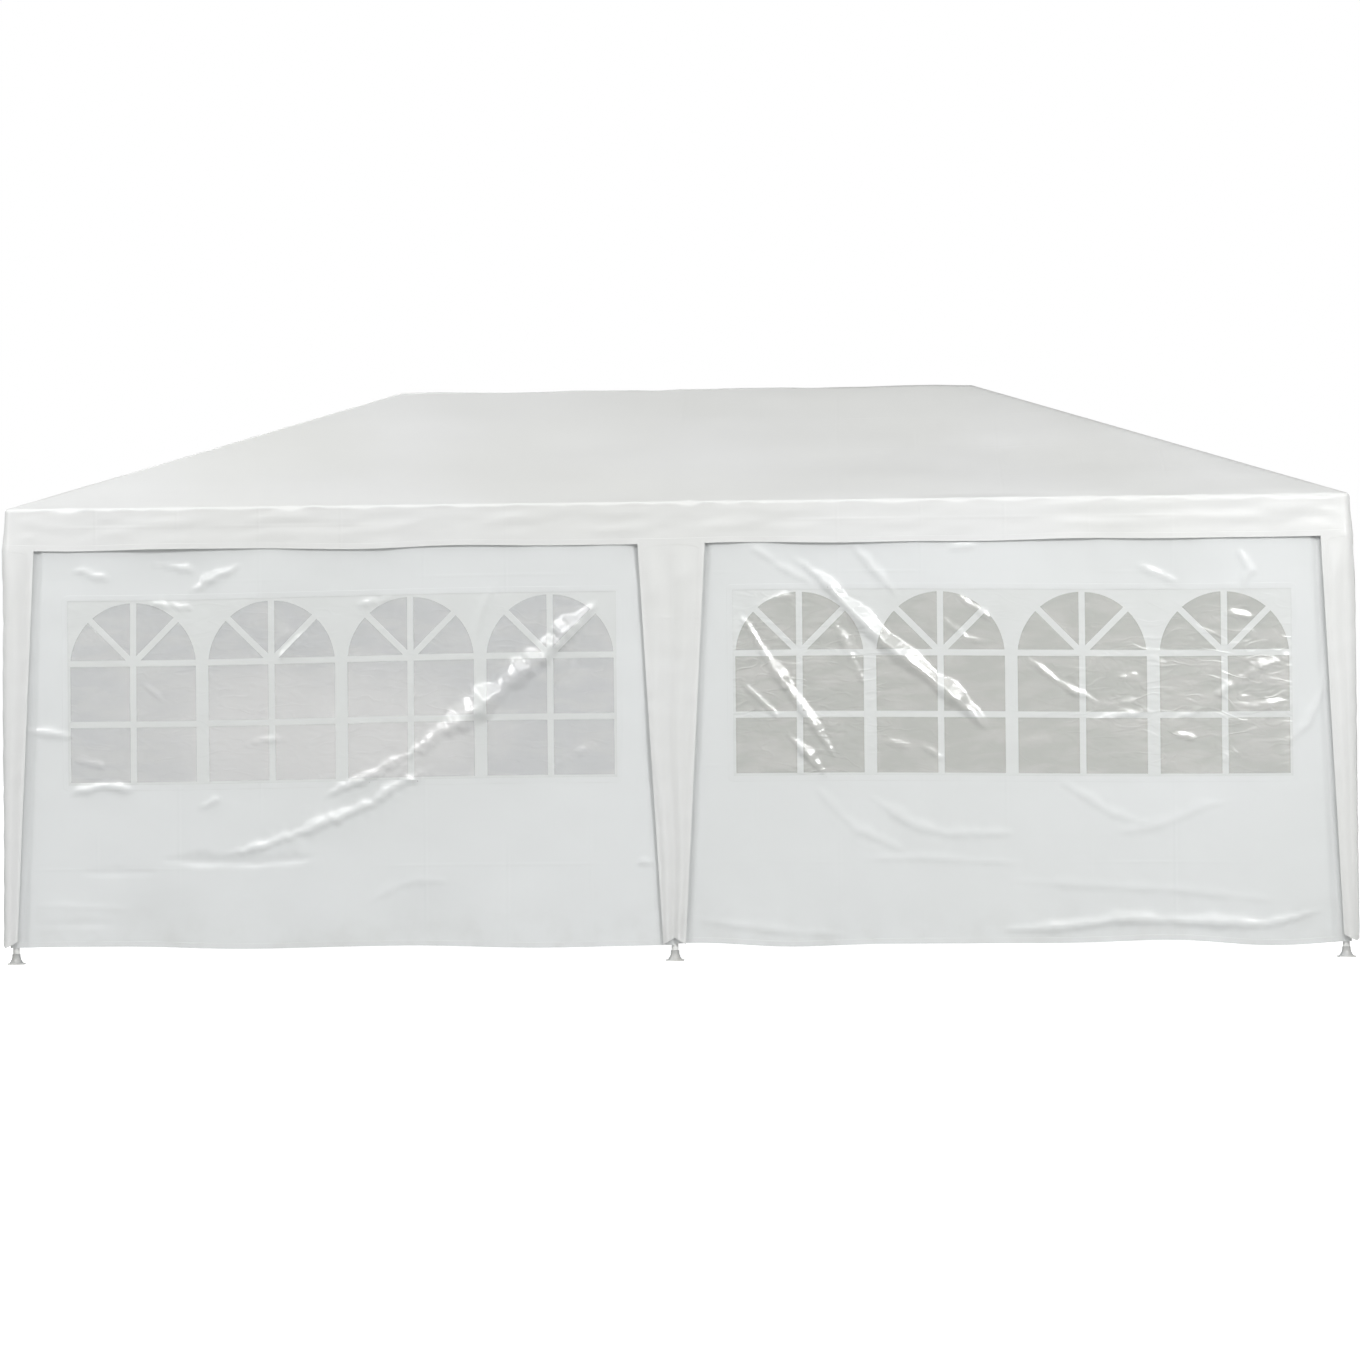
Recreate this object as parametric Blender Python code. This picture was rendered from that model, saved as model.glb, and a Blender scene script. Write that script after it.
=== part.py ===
"""A 3 x 6 m marquee tent: a plug-together frame of steel tubes under a polyethylene cover.

X runs along the ridge, the photographed long side faces -Y, and the origin is on the ground
under the middle of the tent. Sizes are in metres.
"""

import bpy
import bmesh
from math import cos, pi, sin
from mathutils import Matrix, Vector

# Driving sizes
LENGTH = 6.0
WIDTH = 3.0
EAVE_HEIGHT = 2.045
RIDGE_HEIGHT = 2.696
RIDGE_LENGTH = 2.79

# Cloth, modelled thicker than the real 0.2 mm
CLOTH = 0.003
CLEAR_SHEET = 0.002
GAP = 0.0003

# Skirt: the valance and the leg covers that run on down from it
VALANCE_BOTTOM = 1.858
LEG_COVER_BOTTOM = 0.085
MIDDLE_COVER_TOP_WIDTH = 0.30
MIDDLE_COVER_FOOT_WIDTH = 0.10
CORNER_COVER_TOP_WIDTH = 0.13
CORNER_COVER_FOOT_WIDTH = 0.055

# Walls hang inside the skirt and outside the legs
WALL_INSET = 0.0115
WALL_TOP = 2.02
WALL_BOTTOM = 0.07
WALL_JOINT = 0.004

# Windows: a strip of four arches in each side wall
ARCH_COUNT = 4
ARCH_WIDTH = 0.570
ARCH_PITCH = 0.626
ARCH_SPRING = 1.344
ARCH_SILL = 0.824
STRIP_SHIFT = 0.010
ARCH_STEPS = 16
SHEET_MARGIN = 0.03

# Doors in the end walls
DOOR_WIDTH = 1.40
DOOR_TOP = 1.80
DOOR_ROLL_RADIUS = 0.045
DOOR_ROLL_HEIGHT = 1.775

# Frame of round tubes
TUBE_RADIUS = 0.015
SLEEVE_RADIUS = 0.018
SLEEVE_STEP = 0.0004
SLEEVE_LENGTH = 0.10
SLEEVE_TAIL = 0.016
RAFTER_SLEEVE_TAIL = 0.004
LEG_INSET = 0.033
EAVE_AXIS = 2.030
RIDGE_AXIS = 2.668
RIDGE_AXIS_HALF = 1.38
ROUND_SIDES = 16

# Foot: a flared shoe on a flat base disc, as (radius, height) up the outside
FOOT_PROFILE = [(0.042, 0.0), (0.042, 0.006), (0.031, 0.009), (0.019, 0.040), (TUBE_RADIUS, 0.046)]

HALF_LENGTH = LENGTH / 2
HALF_WIDTH = WIDTH / 2
RIDGE_HALF = RIDGE_LENGTH / 2
LEG_X = HALF_LENGTH - LEG_INSET
LEG_Y = HALF_WIDTH - LEG_INSET
WALL_OUTER_X = HALF_LENGTH - WALL_INSET
WALL_OUTER_Y = HALF_WIDTH - WALL_INSET

SIDES = {"front": -1, "rear": 1}
ENDS = {"left": -1, "right": 1}


def remove_everything():
    for obj in list(bpy.data.objects):
        bpy.data.objects.remove(obj, do_unlink=True)


def make_material(name, colour, roughness, metallic=0.0, transmission=0.0):
    material = bpy.data.materials.new(name)
    material.use_nodes = True
    shader = material.node_tree.nodes["Principled BSDF"]
    shader.inputs["Base Color"].default_value = (*colour, 1.0)
    shader.inputs["Roughness"].default_value = roughness
    shader.inputs["Metallic"].default_value = metallic
    shader.inputs["Transmission Weight"].default_value = transmission
    material.diffuse_color = (*colour, 1.0)
    return material


def make_materials():
    return {
        "cloth": make_material("white polyethylene cloth", (0.72, 0.74, 0.72), 0.45),
        "clear": make_material("clear window sheet", (0.80, 0.82, 0.78), 0.12, transmission=0.9),
        "steel": make_material("white coated steel", (0.70, 0.71, 0.70), 0.35),
    }


def add_object(name, bm, material, root):
    """Turns a bmesh into a named object with its own copy of the material."""
    bmesh.ops.recalc_face_normals(bm, faces=bm.faces)
    mesh = bpy.data.meshes.new(name)
    bm.to_mesh(mesh)
    bm.free()
    obj = bpy.data.objects.new(name, mesh)
    bpy.context.collection.objects.link(obj)
    if material:
        own = material.copy()
        own.name = f"{name} {material.name}"
        mesh.materials.append(own)
    obj.parent = root
    return obj


def loft(bottom, top):
    """A closed solid between two outlines with the same number of points."""
    bm = bmesh.new()
    low = [bm.verts.new(point) for point in bottom]
    high = [bm.verts.new(point) for point in top]
    bm.faces.new(low)
    bm.faces.new(high)
    for i in range(len(low)):
        j = (i + 1) % len(low)
        bm.faces.new((low[i], low[j], high[j], high[i]))
    return bm


def box(low, high):
    """A solid box between two opposite corners."""
    (x0, x1), (y0, y1), (z0, z1) = [sorted(pair) for pair in zip(low, high)]
    outline = [(x0, y0), (x1, y0), (x1, y1), (x0, y1)]
    return loft([(x, y, z0) for x, y in outline], [(x, y, z1) for x, y in outline])


def turned(profile, sides):
    """A solid turned round Z from (radius, height) points, closed flat at both ends."""
    bm = bmesh.new()
    rings = []
    for radius, height in profile:
        angles = [2 * pi * i / sides for i in range(sides)]
        rings.append([bm.verts.new((radius * cos(a), radius * sin(a), height)) for a in angles])
    for lower, upper in zip(rings, rings[1:]):
        for i in range(sides):
            j = (i + 1) % sides
            bm.faces.new((lower[i], lower[j], upper[j], upper[i]))
    bm.faces.new(rings[0])
    bm.faces.new(rings[-1])
    return bm


def rod(start, end, radius):
    """A round bar from one point to another."""
    start, end = Vector(start), Vector(end)
    bm = turned([(radius, 0.0), (radius, (end - start).length)], ROUND_SIDES)
    turn = (end - start).to_track_quat("Z", "Y").to_matrix().to_4x4()
    bmesh.ops.transform(bm, matrix=Matrix.Translation(start) @ turn, verts=bm.verts)
    return bm


def shade_round(obj):
    obj.data.shade_smooth()
    obj.data.set_sharp_from_angle(angle=0.6)


def combine(obj, solids, operation):
    """Applies exact unions with, or differences by, the other solids, then removes them."""
    for number, solid in enumerate(solids):
        tool = add_object(f"{obj.name} tool {number}", solid, None, None)
        modifier = obj.modifiers.new(operation.lower(), "BOOLEAN")
        modifier.operation = operation
        modifier.solver = "EXACT"
        modifier.object = tool
        result = bpy.data.meshes.new_from_object(
            obj.evaluated_get(bpy.context.evaluated_depsgraph_get())
        )
        obj.modifiers.clear()
        obj.data = result
        bpy.data.objects.remove(tool, do_unlink=True)


def roof_height(rise_share):
    return EAVE_HEIGHT + (RIDGE_HEIGHT - EAVE_HEIGHT) * rise_share


def make_roof_slope(name, outline, share, material, root):
    """One sewn slope. share(x, y) says how far up from the eave to the ridge a point lies."""
    top = [(x, y, roof_height(share(x, y))) for x, y in outline]
    bottom = [(x, y, z - CLOTH) for x, y, z in top]
    return add_object(name, loft(bottom, top), material, root)


def make_roof(materials, root):
    for name, side in SIDES.items():
        outline = [
            (-HALF_LENGTH + GAP, side * HALF_WIDTH),
            (HALF_LENGTH - GAP, side * HALF_WIDTH),
            (RIDGE_HALF - GAP, side * GAP),
            (-RIDGE_HALF + GAP, side * GAP),
        ]
        make_roof_slope(
            f"roof_{name}_slope", outline, lambda x, y: 1 - abs(y) / HALF_WIDTH, materials["cloth"], root
        )
    for name, end in ENDS.items():
        outline = [
            (end * HALF_LENGTH, -HALF_WIDTH + GAP),
            (end * HALF_LENGTH, HALF_WIDTH - GAP),
            (end * (RIDGE_HALF + GAP), 0.0),
        ]
        make_roof_slope(
            f"roof_{name}_hip",
            outline,
            lambda x, y: (HALF_LENGTH - abs(x)) / (HALF_LENGTH - RIDGE_HALF),
            materials["cloth"],
            root,
        )


def make_valance(materials, root):
    """The bands that hang from the eaves, the end ones between the side ones."""
    top = EAVE_HEIGHT - CLOTH - GAP
    for name, side in SIDES.items():
        low = (-HALF_LENGTH, side * HALF_WIDTH, VALANCE_BOTTOM)
        high = (HALF_LENGTH, side * (HALF_WIDTH - CLOTH), top)
        add_object(f"valance_{name}", box(low, high), materials["cloth"], root)
    half = HALF_WIDTH - CLOTH - GAP
    for name, end in ENDS.items():
        low = (end * HALF_LENGTH, -half, VALANCE_BOTTOM)
        high = (end * (HALF_LENGTH - CLOTH), half, top)
        add_object(f"valance_{name}", box(low, high), materials["cloth"], root)


def make_leg_covers(materials, root):
    top = VALANCE_BOTTOM - GAP
    for side_name, side in SIDES.items():
        outer, inner = side * HALF_WIDTH, side * (HALF_WIDTH - CLOTH)

        def middle(width, z):
            half = width / 2
            return [(-half, outer, z), (half, outer, z), (half, inner, z), (-half, inner, z)]

        add_object(
            f"leg_cover_{side_name}_middle",
            loft(middle(MIDDLE_COVER_FOOT_WIDTH, LEG_COVER_BOTTOM), middle(MIDDLE_COVER_TOP_WIDTH, top)),
            materials["cloth"],
            root,
        )
        for end_name, end in ENDS.items():

            def corner(width, z):
                outline = [(0, 0), (width, 0), (width, CLOTH), (CLOTH, CLOTH), (CLOTH, width), (0, width)]
                return [(end * (HALF_LENGTH - x), side * (HALF_WIDTH - y), z) for x, y in outline]

            add_object(
                f"leg_cover_{side_name}_{end_name}",
                loft(corner(CORNER_COVER_FOOT_WIDTH, LEG_COVER_BOTTOM), corner(CORNER_COVER_TOP_WIDTH, top)),
                materials["cloth"],
                root,
            )


def arch_cutter(centre_x, wall_y):
    """A prism with a half-round head that goes right through a side wall."""
    radius = ARCH_WIDTH / 2
    outline = [(-radius, ARCH_SILL), (radius, ARCH_SILL)]
    for i in range(ARCH_STEPS + 1):
        angle = pi * i / ARCH_STEPS
        outline.append((radius * cos(angle), ARCH_SPRING + radius * sin(angle)))
    reach = CLOTH * 3
    front = [(centre_x + x, wall_y - reach, z) for x, z in outline]
    back = [(centre_x + x, wall_y + reach, z) for x, z in outline]
    return loft(front, back)


def make_side_walls(materials, root):
    inner_edge = WALL_JOINT / 2
    centre = (inner_edge + WALL_OUTER_X) / 2
    sheet_half = ((ARCH_COUNT - 1) * ARCH_PITCH + ARCH_WIDTH) / 2 + SHEET_MARGIN
    sheet_top = ARCH_SPRING + ARCH_WIDTH / 2 + SHEET_MARGIN
    sheet_bottom = ARCH_SILL - SHEET_MARGIN
    for side_name, side in SIDES.items():
        outer, inner = side * WALL_OUTER_Y, side * (WALL_OUTER_Y - CLOTH)
        for end_name, end in ENDS.items():
            wall = add_object(
                f"side_wall_{side_name}_{end_name}",
                box((end * inner_edge, outer, WALL_BOTTOM), (end * WALL_OUTER_X, inner, WALL_TOP)),
                materials["cloth"],
                root,
            )
            middle = end * centre - side * STRIP_SHIFT
            first = middle - (ARCH_COUNT - 1) * ARCH_PITCH / 2
            arches = [arch_cutter(first + i * ARCH_PITCH, outer) for i in range(ARCH_COUNT)]
            combine(wall, arches, "DIFFERENCE")
            behind = inner - side * GAP
            add_object(
                f"window_sheet_{side_name}_{end_name}",
                box(
                    (middle - sheet_half, behind, sheet_bottom),
                    (middle + sheet_half, behind - side * CLEAR_SHEET, sheet_top),
                ),
                materials["clear"],
                root,
            )


def make_end_walls(materials, root):
    half = WALL_OUTER_Y - CLOTH - GAP
    door = DOOR_WIDTH / 2
    outline = [
        (-half, WALL_BOTTOM),
        (-door, WALL_BOTTOM),
        (-door, DOOR_TOP),
        (door, DOOR_TOP),
        (door, WALL_BOTTOM),
        (half, WALL_BOTTOM),
        (half, WALL_TOP),
        (-half, WALL_TOP),
    ]
    for name, end in ENDS.items():
        outer, inner = end * WALL_OUTER_X, end * (WALL_OUTER_X - CLOTH)
        faces = [[(x, y, z) for y, z in outline] for x in (outer, inner)]
        add_object(f"end_wall_{name}", loft(*faces), materials["cloth"], root)


def make_doors(materials, root):
    """The left door is zipped shut. The right one is rolled up inside, under its top edge."""
    half = DOOR_WIDTH / 2 - GAP
    left = ENDS["left"]
    add_object(
        "door_flap_left",
        box(
            (left * WALL_OUTER_X, -half, WALL_BOTTOM),
            (left * (WALL_OUTER_X - CLOTH), half, DOOR_TOP - GAP),
        ),
        materials["cloth"],
        root,
    )
    roll_x = WALL_OUTER_X - CLOTH - GAP - DOOR_ROLL_RADIUS
    roll = add_object(
        "door_roll_right",
        rod((roll_x, -half, DOOR_ROLL_HEIGHT), (roll_x, half, DOOR_ROLL_HEIGHT), DOOR_ROLL_RADIUS),
        materials["cloth"],
        root,
    )
    shade_round(roll)


def frame_points():
    """The centres of the connectors, by name."""
    points = {}
    for side_name, side in SIDES.items():
        points[f"{side_name}_middle"] = Vector((0.0, side * LEG_Y, EAVE_AXIS))
        for end_name, end in ENDS.items():
            points[f"{side_name}_{end_name}"] = Vector((end * LEG_X, side * LEG_Y, EAVE_AXIS))
    for end_name, end in ENDS.items():
        points[f"ridge_{end_name}"] = Vector((end * RIDGE_AXIS_HALF, 0.0, RIDGE_AXIS))
    points["ridge_middle"] = Vector((0.0, 0.0, RIDGE_AXIS))
    return points


def frame_tubes():
    """Each tube's name with the names of the two connectors that it joins."""
    tubes = {
        "eave_tube_left_end": ("front_left", "rear_left"),
        "eave_tube_right_end": ("front_right", "rear_right"),
    }
    for end in ENDS:
        tubes[f"ridge_tube_{end}"] = (f"ridge_{end}", "ridge_middle")
        for side in SIDES:
            tubes[f"eave_tube_{side}_{end}"] = (f"{side}_{end}", f"{side}_middle")
            tubes[f"hip_rafter_{side}_{end}"] = (f"{side}_{end}", f"ridge_{end}")
    for side in SIDES:
        tubes[f"middle_rafter_{side}"] = (f"{side}_middle", "ridge_middle")
    return tubes


def connector_name(point_name):
    if point_name.startswith("ridge"):
        return point_name.replace("ridge", "ridge_connector")
    kind = "side_connector" if point_name.endswith("middle") else "corner_connector"
    side, place = point_name.split("_")
    return f"{kind}_{side}" if place == "middle" else f"{kind}_{side}_{place}"


def make_tubes(points, tubes, materials, root):
    for name, (start_name, end_name) in tubes.items():
        start, end = points[start_name], points[end_name]
        along = (end - start).normalized()
        reach = SLEEVE_LENGTH + GAP
        tube = add_object(
            name, rod(start + along * reach, end - along * reach, TUBE_RADIUS), materials["steel"], root
        )
        shade_round(tube)


def make_legs(points, materials, root):
    for name, point in points.items():
        if name.startswith("ridge"):
            continue
        top = EAVE_AXIS - SLEEVE_LENGTH - GAP
        leg = add_object(
            f"leg_{name}", turned([*FOOT_PROFILE, (TUBE_RADIUS, top)], ROUND_SIDES), materials["steel"], root
        )
        leg.location = (point.x, point.y, 0.0)
        shade_round(leg)


def make_connectors(points, tubes, materials, root):
    """Sleeves welded where they cross, one towards each tube and one down over each leg.

    Each is a little thinner than the one before, so that their surfaces cross cleanly.
    """
    for name, centre in points.items():
        ways = []
        for start, end in tubes.values():
            if name == start:
                ways.append((points[end] - centre).normalized())
            if name == end:
                ways.append((points[start] - centre).normalized())
        if not name.startswith("ridge"):
            ways.append(Vector((0.0, 0.0, -1.0)))
        sleeves = []
        for number, way in enumerate(ways):
            radius = SLEEVE_RADIUS - number * SLEEVE_STEP
            slanted = max(abs(part) for part in way) < 0.999
            tail = RAFTER_SLEEVE_TAIL if slanted else SLEEVE_TAIL
            sleeves.append(rod(centre - way * tail, centre + way * SLEEVE_LENGTH, radius))
        connector = add_object(connector_name(name), sleeves[0], materials["steel"], root)
        combine(connector, sleeves[1:], "UNION")
        shade_round(connector)


def main():
    remove_everything()
    root = bpy.data.objects.new("tent", None)
    bpy.context.collection.objects.link(root)
    materials = make_materials()
    points = frame_points()
    tubes = frame_tubes()
    make_roof(materials, root)
    make_valance(materials, root)
    make_leg_covers(materials, root)
    make_side_walls(materials, root)
    make_end_walls(materials, root)
    make_doors(materials, root)
    make_tubes(points, tubes, materials, root)
    make_legs(points, materials, root)
    make_connectors(points, tubes, materials, root)


main()
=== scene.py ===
"""Looks of a 3 x 6 m marquee tent: thin creased sheets, clear windows and a coated tube frame.

X runs along the ridge, -Y faces the photographed long side, and the ground is at Z = 0. Metres.
"""

from math import asin, atan2, cos, hypot, inf, pi, radians, sin, sqrt, tan

import bmesh
import bpy
import numpy as np
from mathutils import Matrix, Vector
from mathutils.bvhtree import BVHTree
from mathutils.geometry import delaunay_2d_cdt


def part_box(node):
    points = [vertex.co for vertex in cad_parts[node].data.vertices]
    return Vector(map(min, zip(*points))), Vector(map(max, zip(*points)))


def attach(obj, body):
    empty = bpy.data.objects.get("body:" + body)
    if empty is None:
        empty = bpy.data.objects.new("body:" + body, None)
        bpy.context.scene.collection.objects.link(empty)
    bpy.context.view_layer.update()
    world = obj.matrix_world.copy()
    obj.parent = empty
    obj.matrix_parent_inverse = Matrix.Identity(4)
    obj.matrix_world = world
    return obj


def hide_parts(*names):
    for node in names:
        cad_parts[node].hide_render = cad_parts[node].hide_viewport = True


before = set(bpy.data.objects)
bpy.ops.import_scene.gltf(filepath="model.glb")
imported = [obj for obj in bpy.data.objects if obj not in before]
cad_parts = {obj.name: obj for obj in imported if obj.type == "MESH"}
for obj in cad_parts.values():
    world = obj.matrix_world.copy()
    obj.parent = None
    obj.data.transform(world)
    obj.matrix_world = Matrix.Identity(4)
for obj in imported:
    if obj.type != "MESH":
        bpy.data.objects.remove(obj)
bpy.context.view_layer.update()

# Camera at the photograph's place: metres, radians and millimetres
CAMERA_PLACE = (0.802, -16.90, 1.013)
CAMERA_YAW = 0.0498
CAMERA_PITCH = 0.0154
CAMERA_ROLL = -0.009
CAMERA_LENS = 91.7

# Sizes that the frame gives
roof_low, roof_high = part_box("roof_front_slope")
hip_low, hip_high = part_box("roof_right_hip")
valance_low, valance_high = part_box("valance_front")
wall_low, wall_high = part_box("side_wall_front_right")
end_low, end_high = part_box("end_wall_right")
door_low, door_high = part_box("door_flap_left")
cover_low, cover_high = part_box("leg_cover_front_middle")
corner_low, corner_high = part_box("leg_cover_front_right")

HALF_LENGTH = hip_high.x
HALF_WIDTH = -roof_low.y
RIDGE_HALF = hip_low.x
EAVE_HEIGHT = valance_high.z + 0.0033
RIDGE_HEIGHT = roof_high.z
VALANCE_BOTTOM = valance_low.z
WALL_OUTER_Y = -wall_low.y
WALL_OUTER_X = end_high.x
WALL_TOP = wall_high.z
WALL_BOTTOM = wall_low.z
DOOR_HALF = door_high.y
DOOR_TOP = door_high.z

# Sheets: thickness, how far they lie back, and how finely they are divided
SHEET = 0.0008
FILM_THICK = 0.0004
FILM_DEPTH = 0.0017
INK_THICK = 0.0003
INK_DEPTH = 0.0010
DOOR_GAP = 0.0006
FINE_STEP = 0.012
COARSE_STEP = 0.024

# Roof: its slope, how far the cloth sags, and how far the valance's corners stand out
EAVE_INSET = 0.012
ROOF_SLOPE = atan2(RIDGE_HEIGHT - EAVE_HEIGHT, HALF_WIDTH)
ROOF_SLANT = 1.0 / cos(ROOF_SLOPE)
ROOF_SAG = 0.024
CORNER_FLARE = 0.012

# Windows: four arches in a clear strip, with white bars printed on it
ARCH_COUNT = 4
WEDGE_COUNT = 4
ARCH_RADIUS = 0.285
ARCH_PITCH = 0.626
ARCH_SPRING = 1.344
ARCH_SILL = 0.824
STRIP_SHIFT = 0.010
BAR_HALF = 0.014
CROSS_BAR = 1.084
ARCH_BAR = ARCH_SPRING + BAR_HALF
STRIP_MARGIN = 0.012
STRIP_BORDER = 0.015
STRIP_SEAM = 0.006

# Sewing
STITCH_PITCH = 0.0105
STITCH_SIZE = (0.0052, 0.0009, 0.0007)
HEM_LINE = WALL_BOTTOM + 0.022
VALANCE_LINE = VALANCE_BOTTOM + 0.021

SIDES = {"front": -1, "rear": 1}
ENDS = {"left": -1, "right": 1}
OUTWARD = {"front": (0, -1), "right": (1, 0), "rear": (0, 1), "left": (-1, 0)}
HALVES = [f"{side}_{end}" for side in SIDES for end in ENDS]
SEEDS = {name: 100 * number for number, name in enumerate([*HALVES, *ENDS], 1)}

# Frame: tubes in sleeves round these centre lines
leg_low, leg_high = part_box("leg_front_right")
eave_low, eave_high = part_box("eave_tube_front_right")
ridge_low, ridge_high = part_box("ridge_tube_right")
LEG_X = (leg_low.x + leg_high.x) / 2.0
LEG_Y = -(leg_low.y + leg_high.y) / 2.0
EAVE_AXIS = (eave_low.z + eave_high.z) / 2.0
RIDGE_AXIS = (ridge_low.z + ridge_high.z) / 2.0
TUBE_RADIUS = (eave_high.z - eave_low.z) / 2.0
SLEEVE_REACH = eave_low.x
RIDGE_AXIS_HALF = ridge_high.x + SLEEVE_REACH
SLEEVE_RADIUS = 0.018
TUBE_SIDES = 32
LONGEST_TUBE = 1.6
LEG_JOINT = 0.95
SLEEVE_STEP = 0.0003
RIM_RISE = 0.0012
BUTTON_PLACE = 0.07
BUTTON_SIZE = (0.0042, 0.0042, 0.0032)
FOOT_BASE_HEIGHT = 0.006
FOOT_HEIGHT = 0.0475

# Leg covers: lowest height, reach along the eave as a share of the slope's, how uneven their lower
# edge is, and the part of the top width that is left at the ground
COVER_BOTTOM = cover_low.z
COVER_SHARE = (corner_high.x - corner_low.x) / (HALF_LENGTH - RIDGE_HALF)
COVER_TIP = 0.03
MIDDLE_NARROW = 0.33
CORNER_NARROW = 0.42
COVER_NODES = ["roof_front_slope", "roof_rear_slope", "roof_left_hip", "roof_right_hip"]
COVER_NODES += [f"valance_{name}" for name in OUTWARD]
COVER_NODES += [f"leg_cover_{side}_{place}" for side in SIDES for place in ("left", "middle", "right")]

# Zips: how far teeth lie beyond the door's edge and stand apart, then the tape's place and width
CLOSED_ZIP = (0.0, 0.0008, 0.0, 0.030)
OPEN_ZIP = (0.0016, 0.0016, 0.0095, 0.016)
TOOTH_PITCH = 0.0042
TOOTH_SIZE = (0.0042, 0.0019, 0.0012)
TAPE_THICK = 0.0005

# Zip slider: size, edge rounding, and how far out and down each block of it lies
SLIDER_BLOCKS = [
    ((0.0085, 0.013, 0.0034), 0.001, 0.0, 0.0),
    ((0.0028, 0.0075, 0.0018), 0.0006, 0.0024, 0.0),
    ((0.0062, 0.026, 0.0012), 0.0004, 0.0036, 0.0135),
]

# Straps round the rolled door, and its coils
TIE_RADIUS = 0.0440
TIE_WIDTH = 0.02
TIE_THICK = 0.0009
TIE_PLACES = (-0.45, 0.45)
ROLL_OUTER = 0.0430
ROLL_INNER = 0.0130
ROLL_TURNS = 10
POINTS_PER_TURN = 26

# Webbing that holds the cloth: places along each eave tube and up each leg, and sizes of its parts
EAVE_TIES = (0.12, 0.31, 0.5, 0.69, 0.88)
LEG_TIES = (0.34, 0.88, 1.52)
LOOP_SIZE = (0.0159, 0.0011, 0.019)
STRAP_SIZE = (0.019, 0.0011, 0.0100)

# Pulled folds on the two halves of a long side, seen from outside: route, width, slope and crumpling.
# A negative slope is a crease that dips inwards.
LEFT_FOLDS = [
    ([(-0.30, 1.62), (-0.50, 1.42), (-0.72, 1.229), (-0.953, 1.057), (-1.17, 0.935)], 0.080, 0.40, 0.0008),
    ([(-1.03, 0.99), (-1.20, 0.91), (-1.364, 0.828), (-1.58, 0.733)], 0.040, 0.39, 0.0012),
    ([(-1.00, 0.885), (-1.228, 0.788), (-1.365, 0.700), (-1.659, 0.588), (-1.874, 0.518), (-2.051, 0.49)],
     0.042, 0.36, 0.0010),
    ([(-0.525, 1.208), (-0.407, 1.342)], 0.024, 0.36, 0.0005),
    ([(-0.563, 0.833), (-0.43, 0.917), (-0.333, 0.964)], 0.024, 0.38, 0.0006),
    ([(-1.93, 0.978), (-1.82, 1.003), (-1.72, 1.006)], 0.026, 0.36, 0.0005),
    ([(-2.70, 0.925), (-2.55, 0.893)], 0.024, 0.37, 0.0003),
    ([(-2.38, 1.265), (-2.29, 1.19)], 0.024, 0.37, 0.0003),
    ([(-1.79, 1.415), (-1.71, 1.50)], 0.024, 0.38, 0.0004),
    ([(-1.77, 1.355), (-1.64, 1.49)], 0.024, 0.38, 0.0004),
    ([(-2.94, 1.062), (-2.82, 1.045), (-2.68, 1.028)], 0.024, 0.36, 0.0003),
    ([(-2.72, 0.772), (-2.539, 0.806), (-2.40, 0.78)], 0.030, 0.33, 0.0006),
    ([(-2.13, 0.70), (-2.03, 0.75)], 0.024, 0.36, 0.0004),
    ([(-2.70, 1.78), (-2.53, 1.73)], 0.024, 0.36, 0.0008),
    ([(-2.35, 1.80), (-2.13, 1.765)], 0.024, 0.36, 0.0010),
    ([(-2.17, 1.67), (-2.05, 1.735), (-1.93, 1.79)], 0.030, 0.38, 0.0012),
    ([(-2.37, 1.625), (-2.15, 1.60)], 0.024, 0.36, 0.0008),
    ([(-1.42, 1.59), (-1.24, 1.63)], 0.024, 0.34, 0.0006),
    ([(-0.773, 1.70), (-0.852, 1.56), (-0.892, 1.40)], 0.030, 0.20, 0.0004),
    ([(-2.33, 0.473), (-2.05, 0.462), (-1.855, 0.456), (-1.57, 0.475)], 0.040, -0.21, 0.0003),
    ([(-2.68, 0.412), (-2.31, 0.413)], 0.034, -0.14, 0.0002),
    ([(-2.90, 0.170), (-2.45, 0.172)], 0.024, -0.14, 0.0002),
    ([(-2.89, 0.262), (-2.42, 0.240)], 0.024, 0.12, 0.0002),
    ([(-1.39, 0.25), (-1.27, 0.325), (-1.15, 0.360), (-1.00, 0.355)], 0.032, 0.12, 0.0003),
    ([(-0.17, 0.440), (-0.05, 0.418)], 0.024, 0.34, 0.0002),
]
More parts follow.
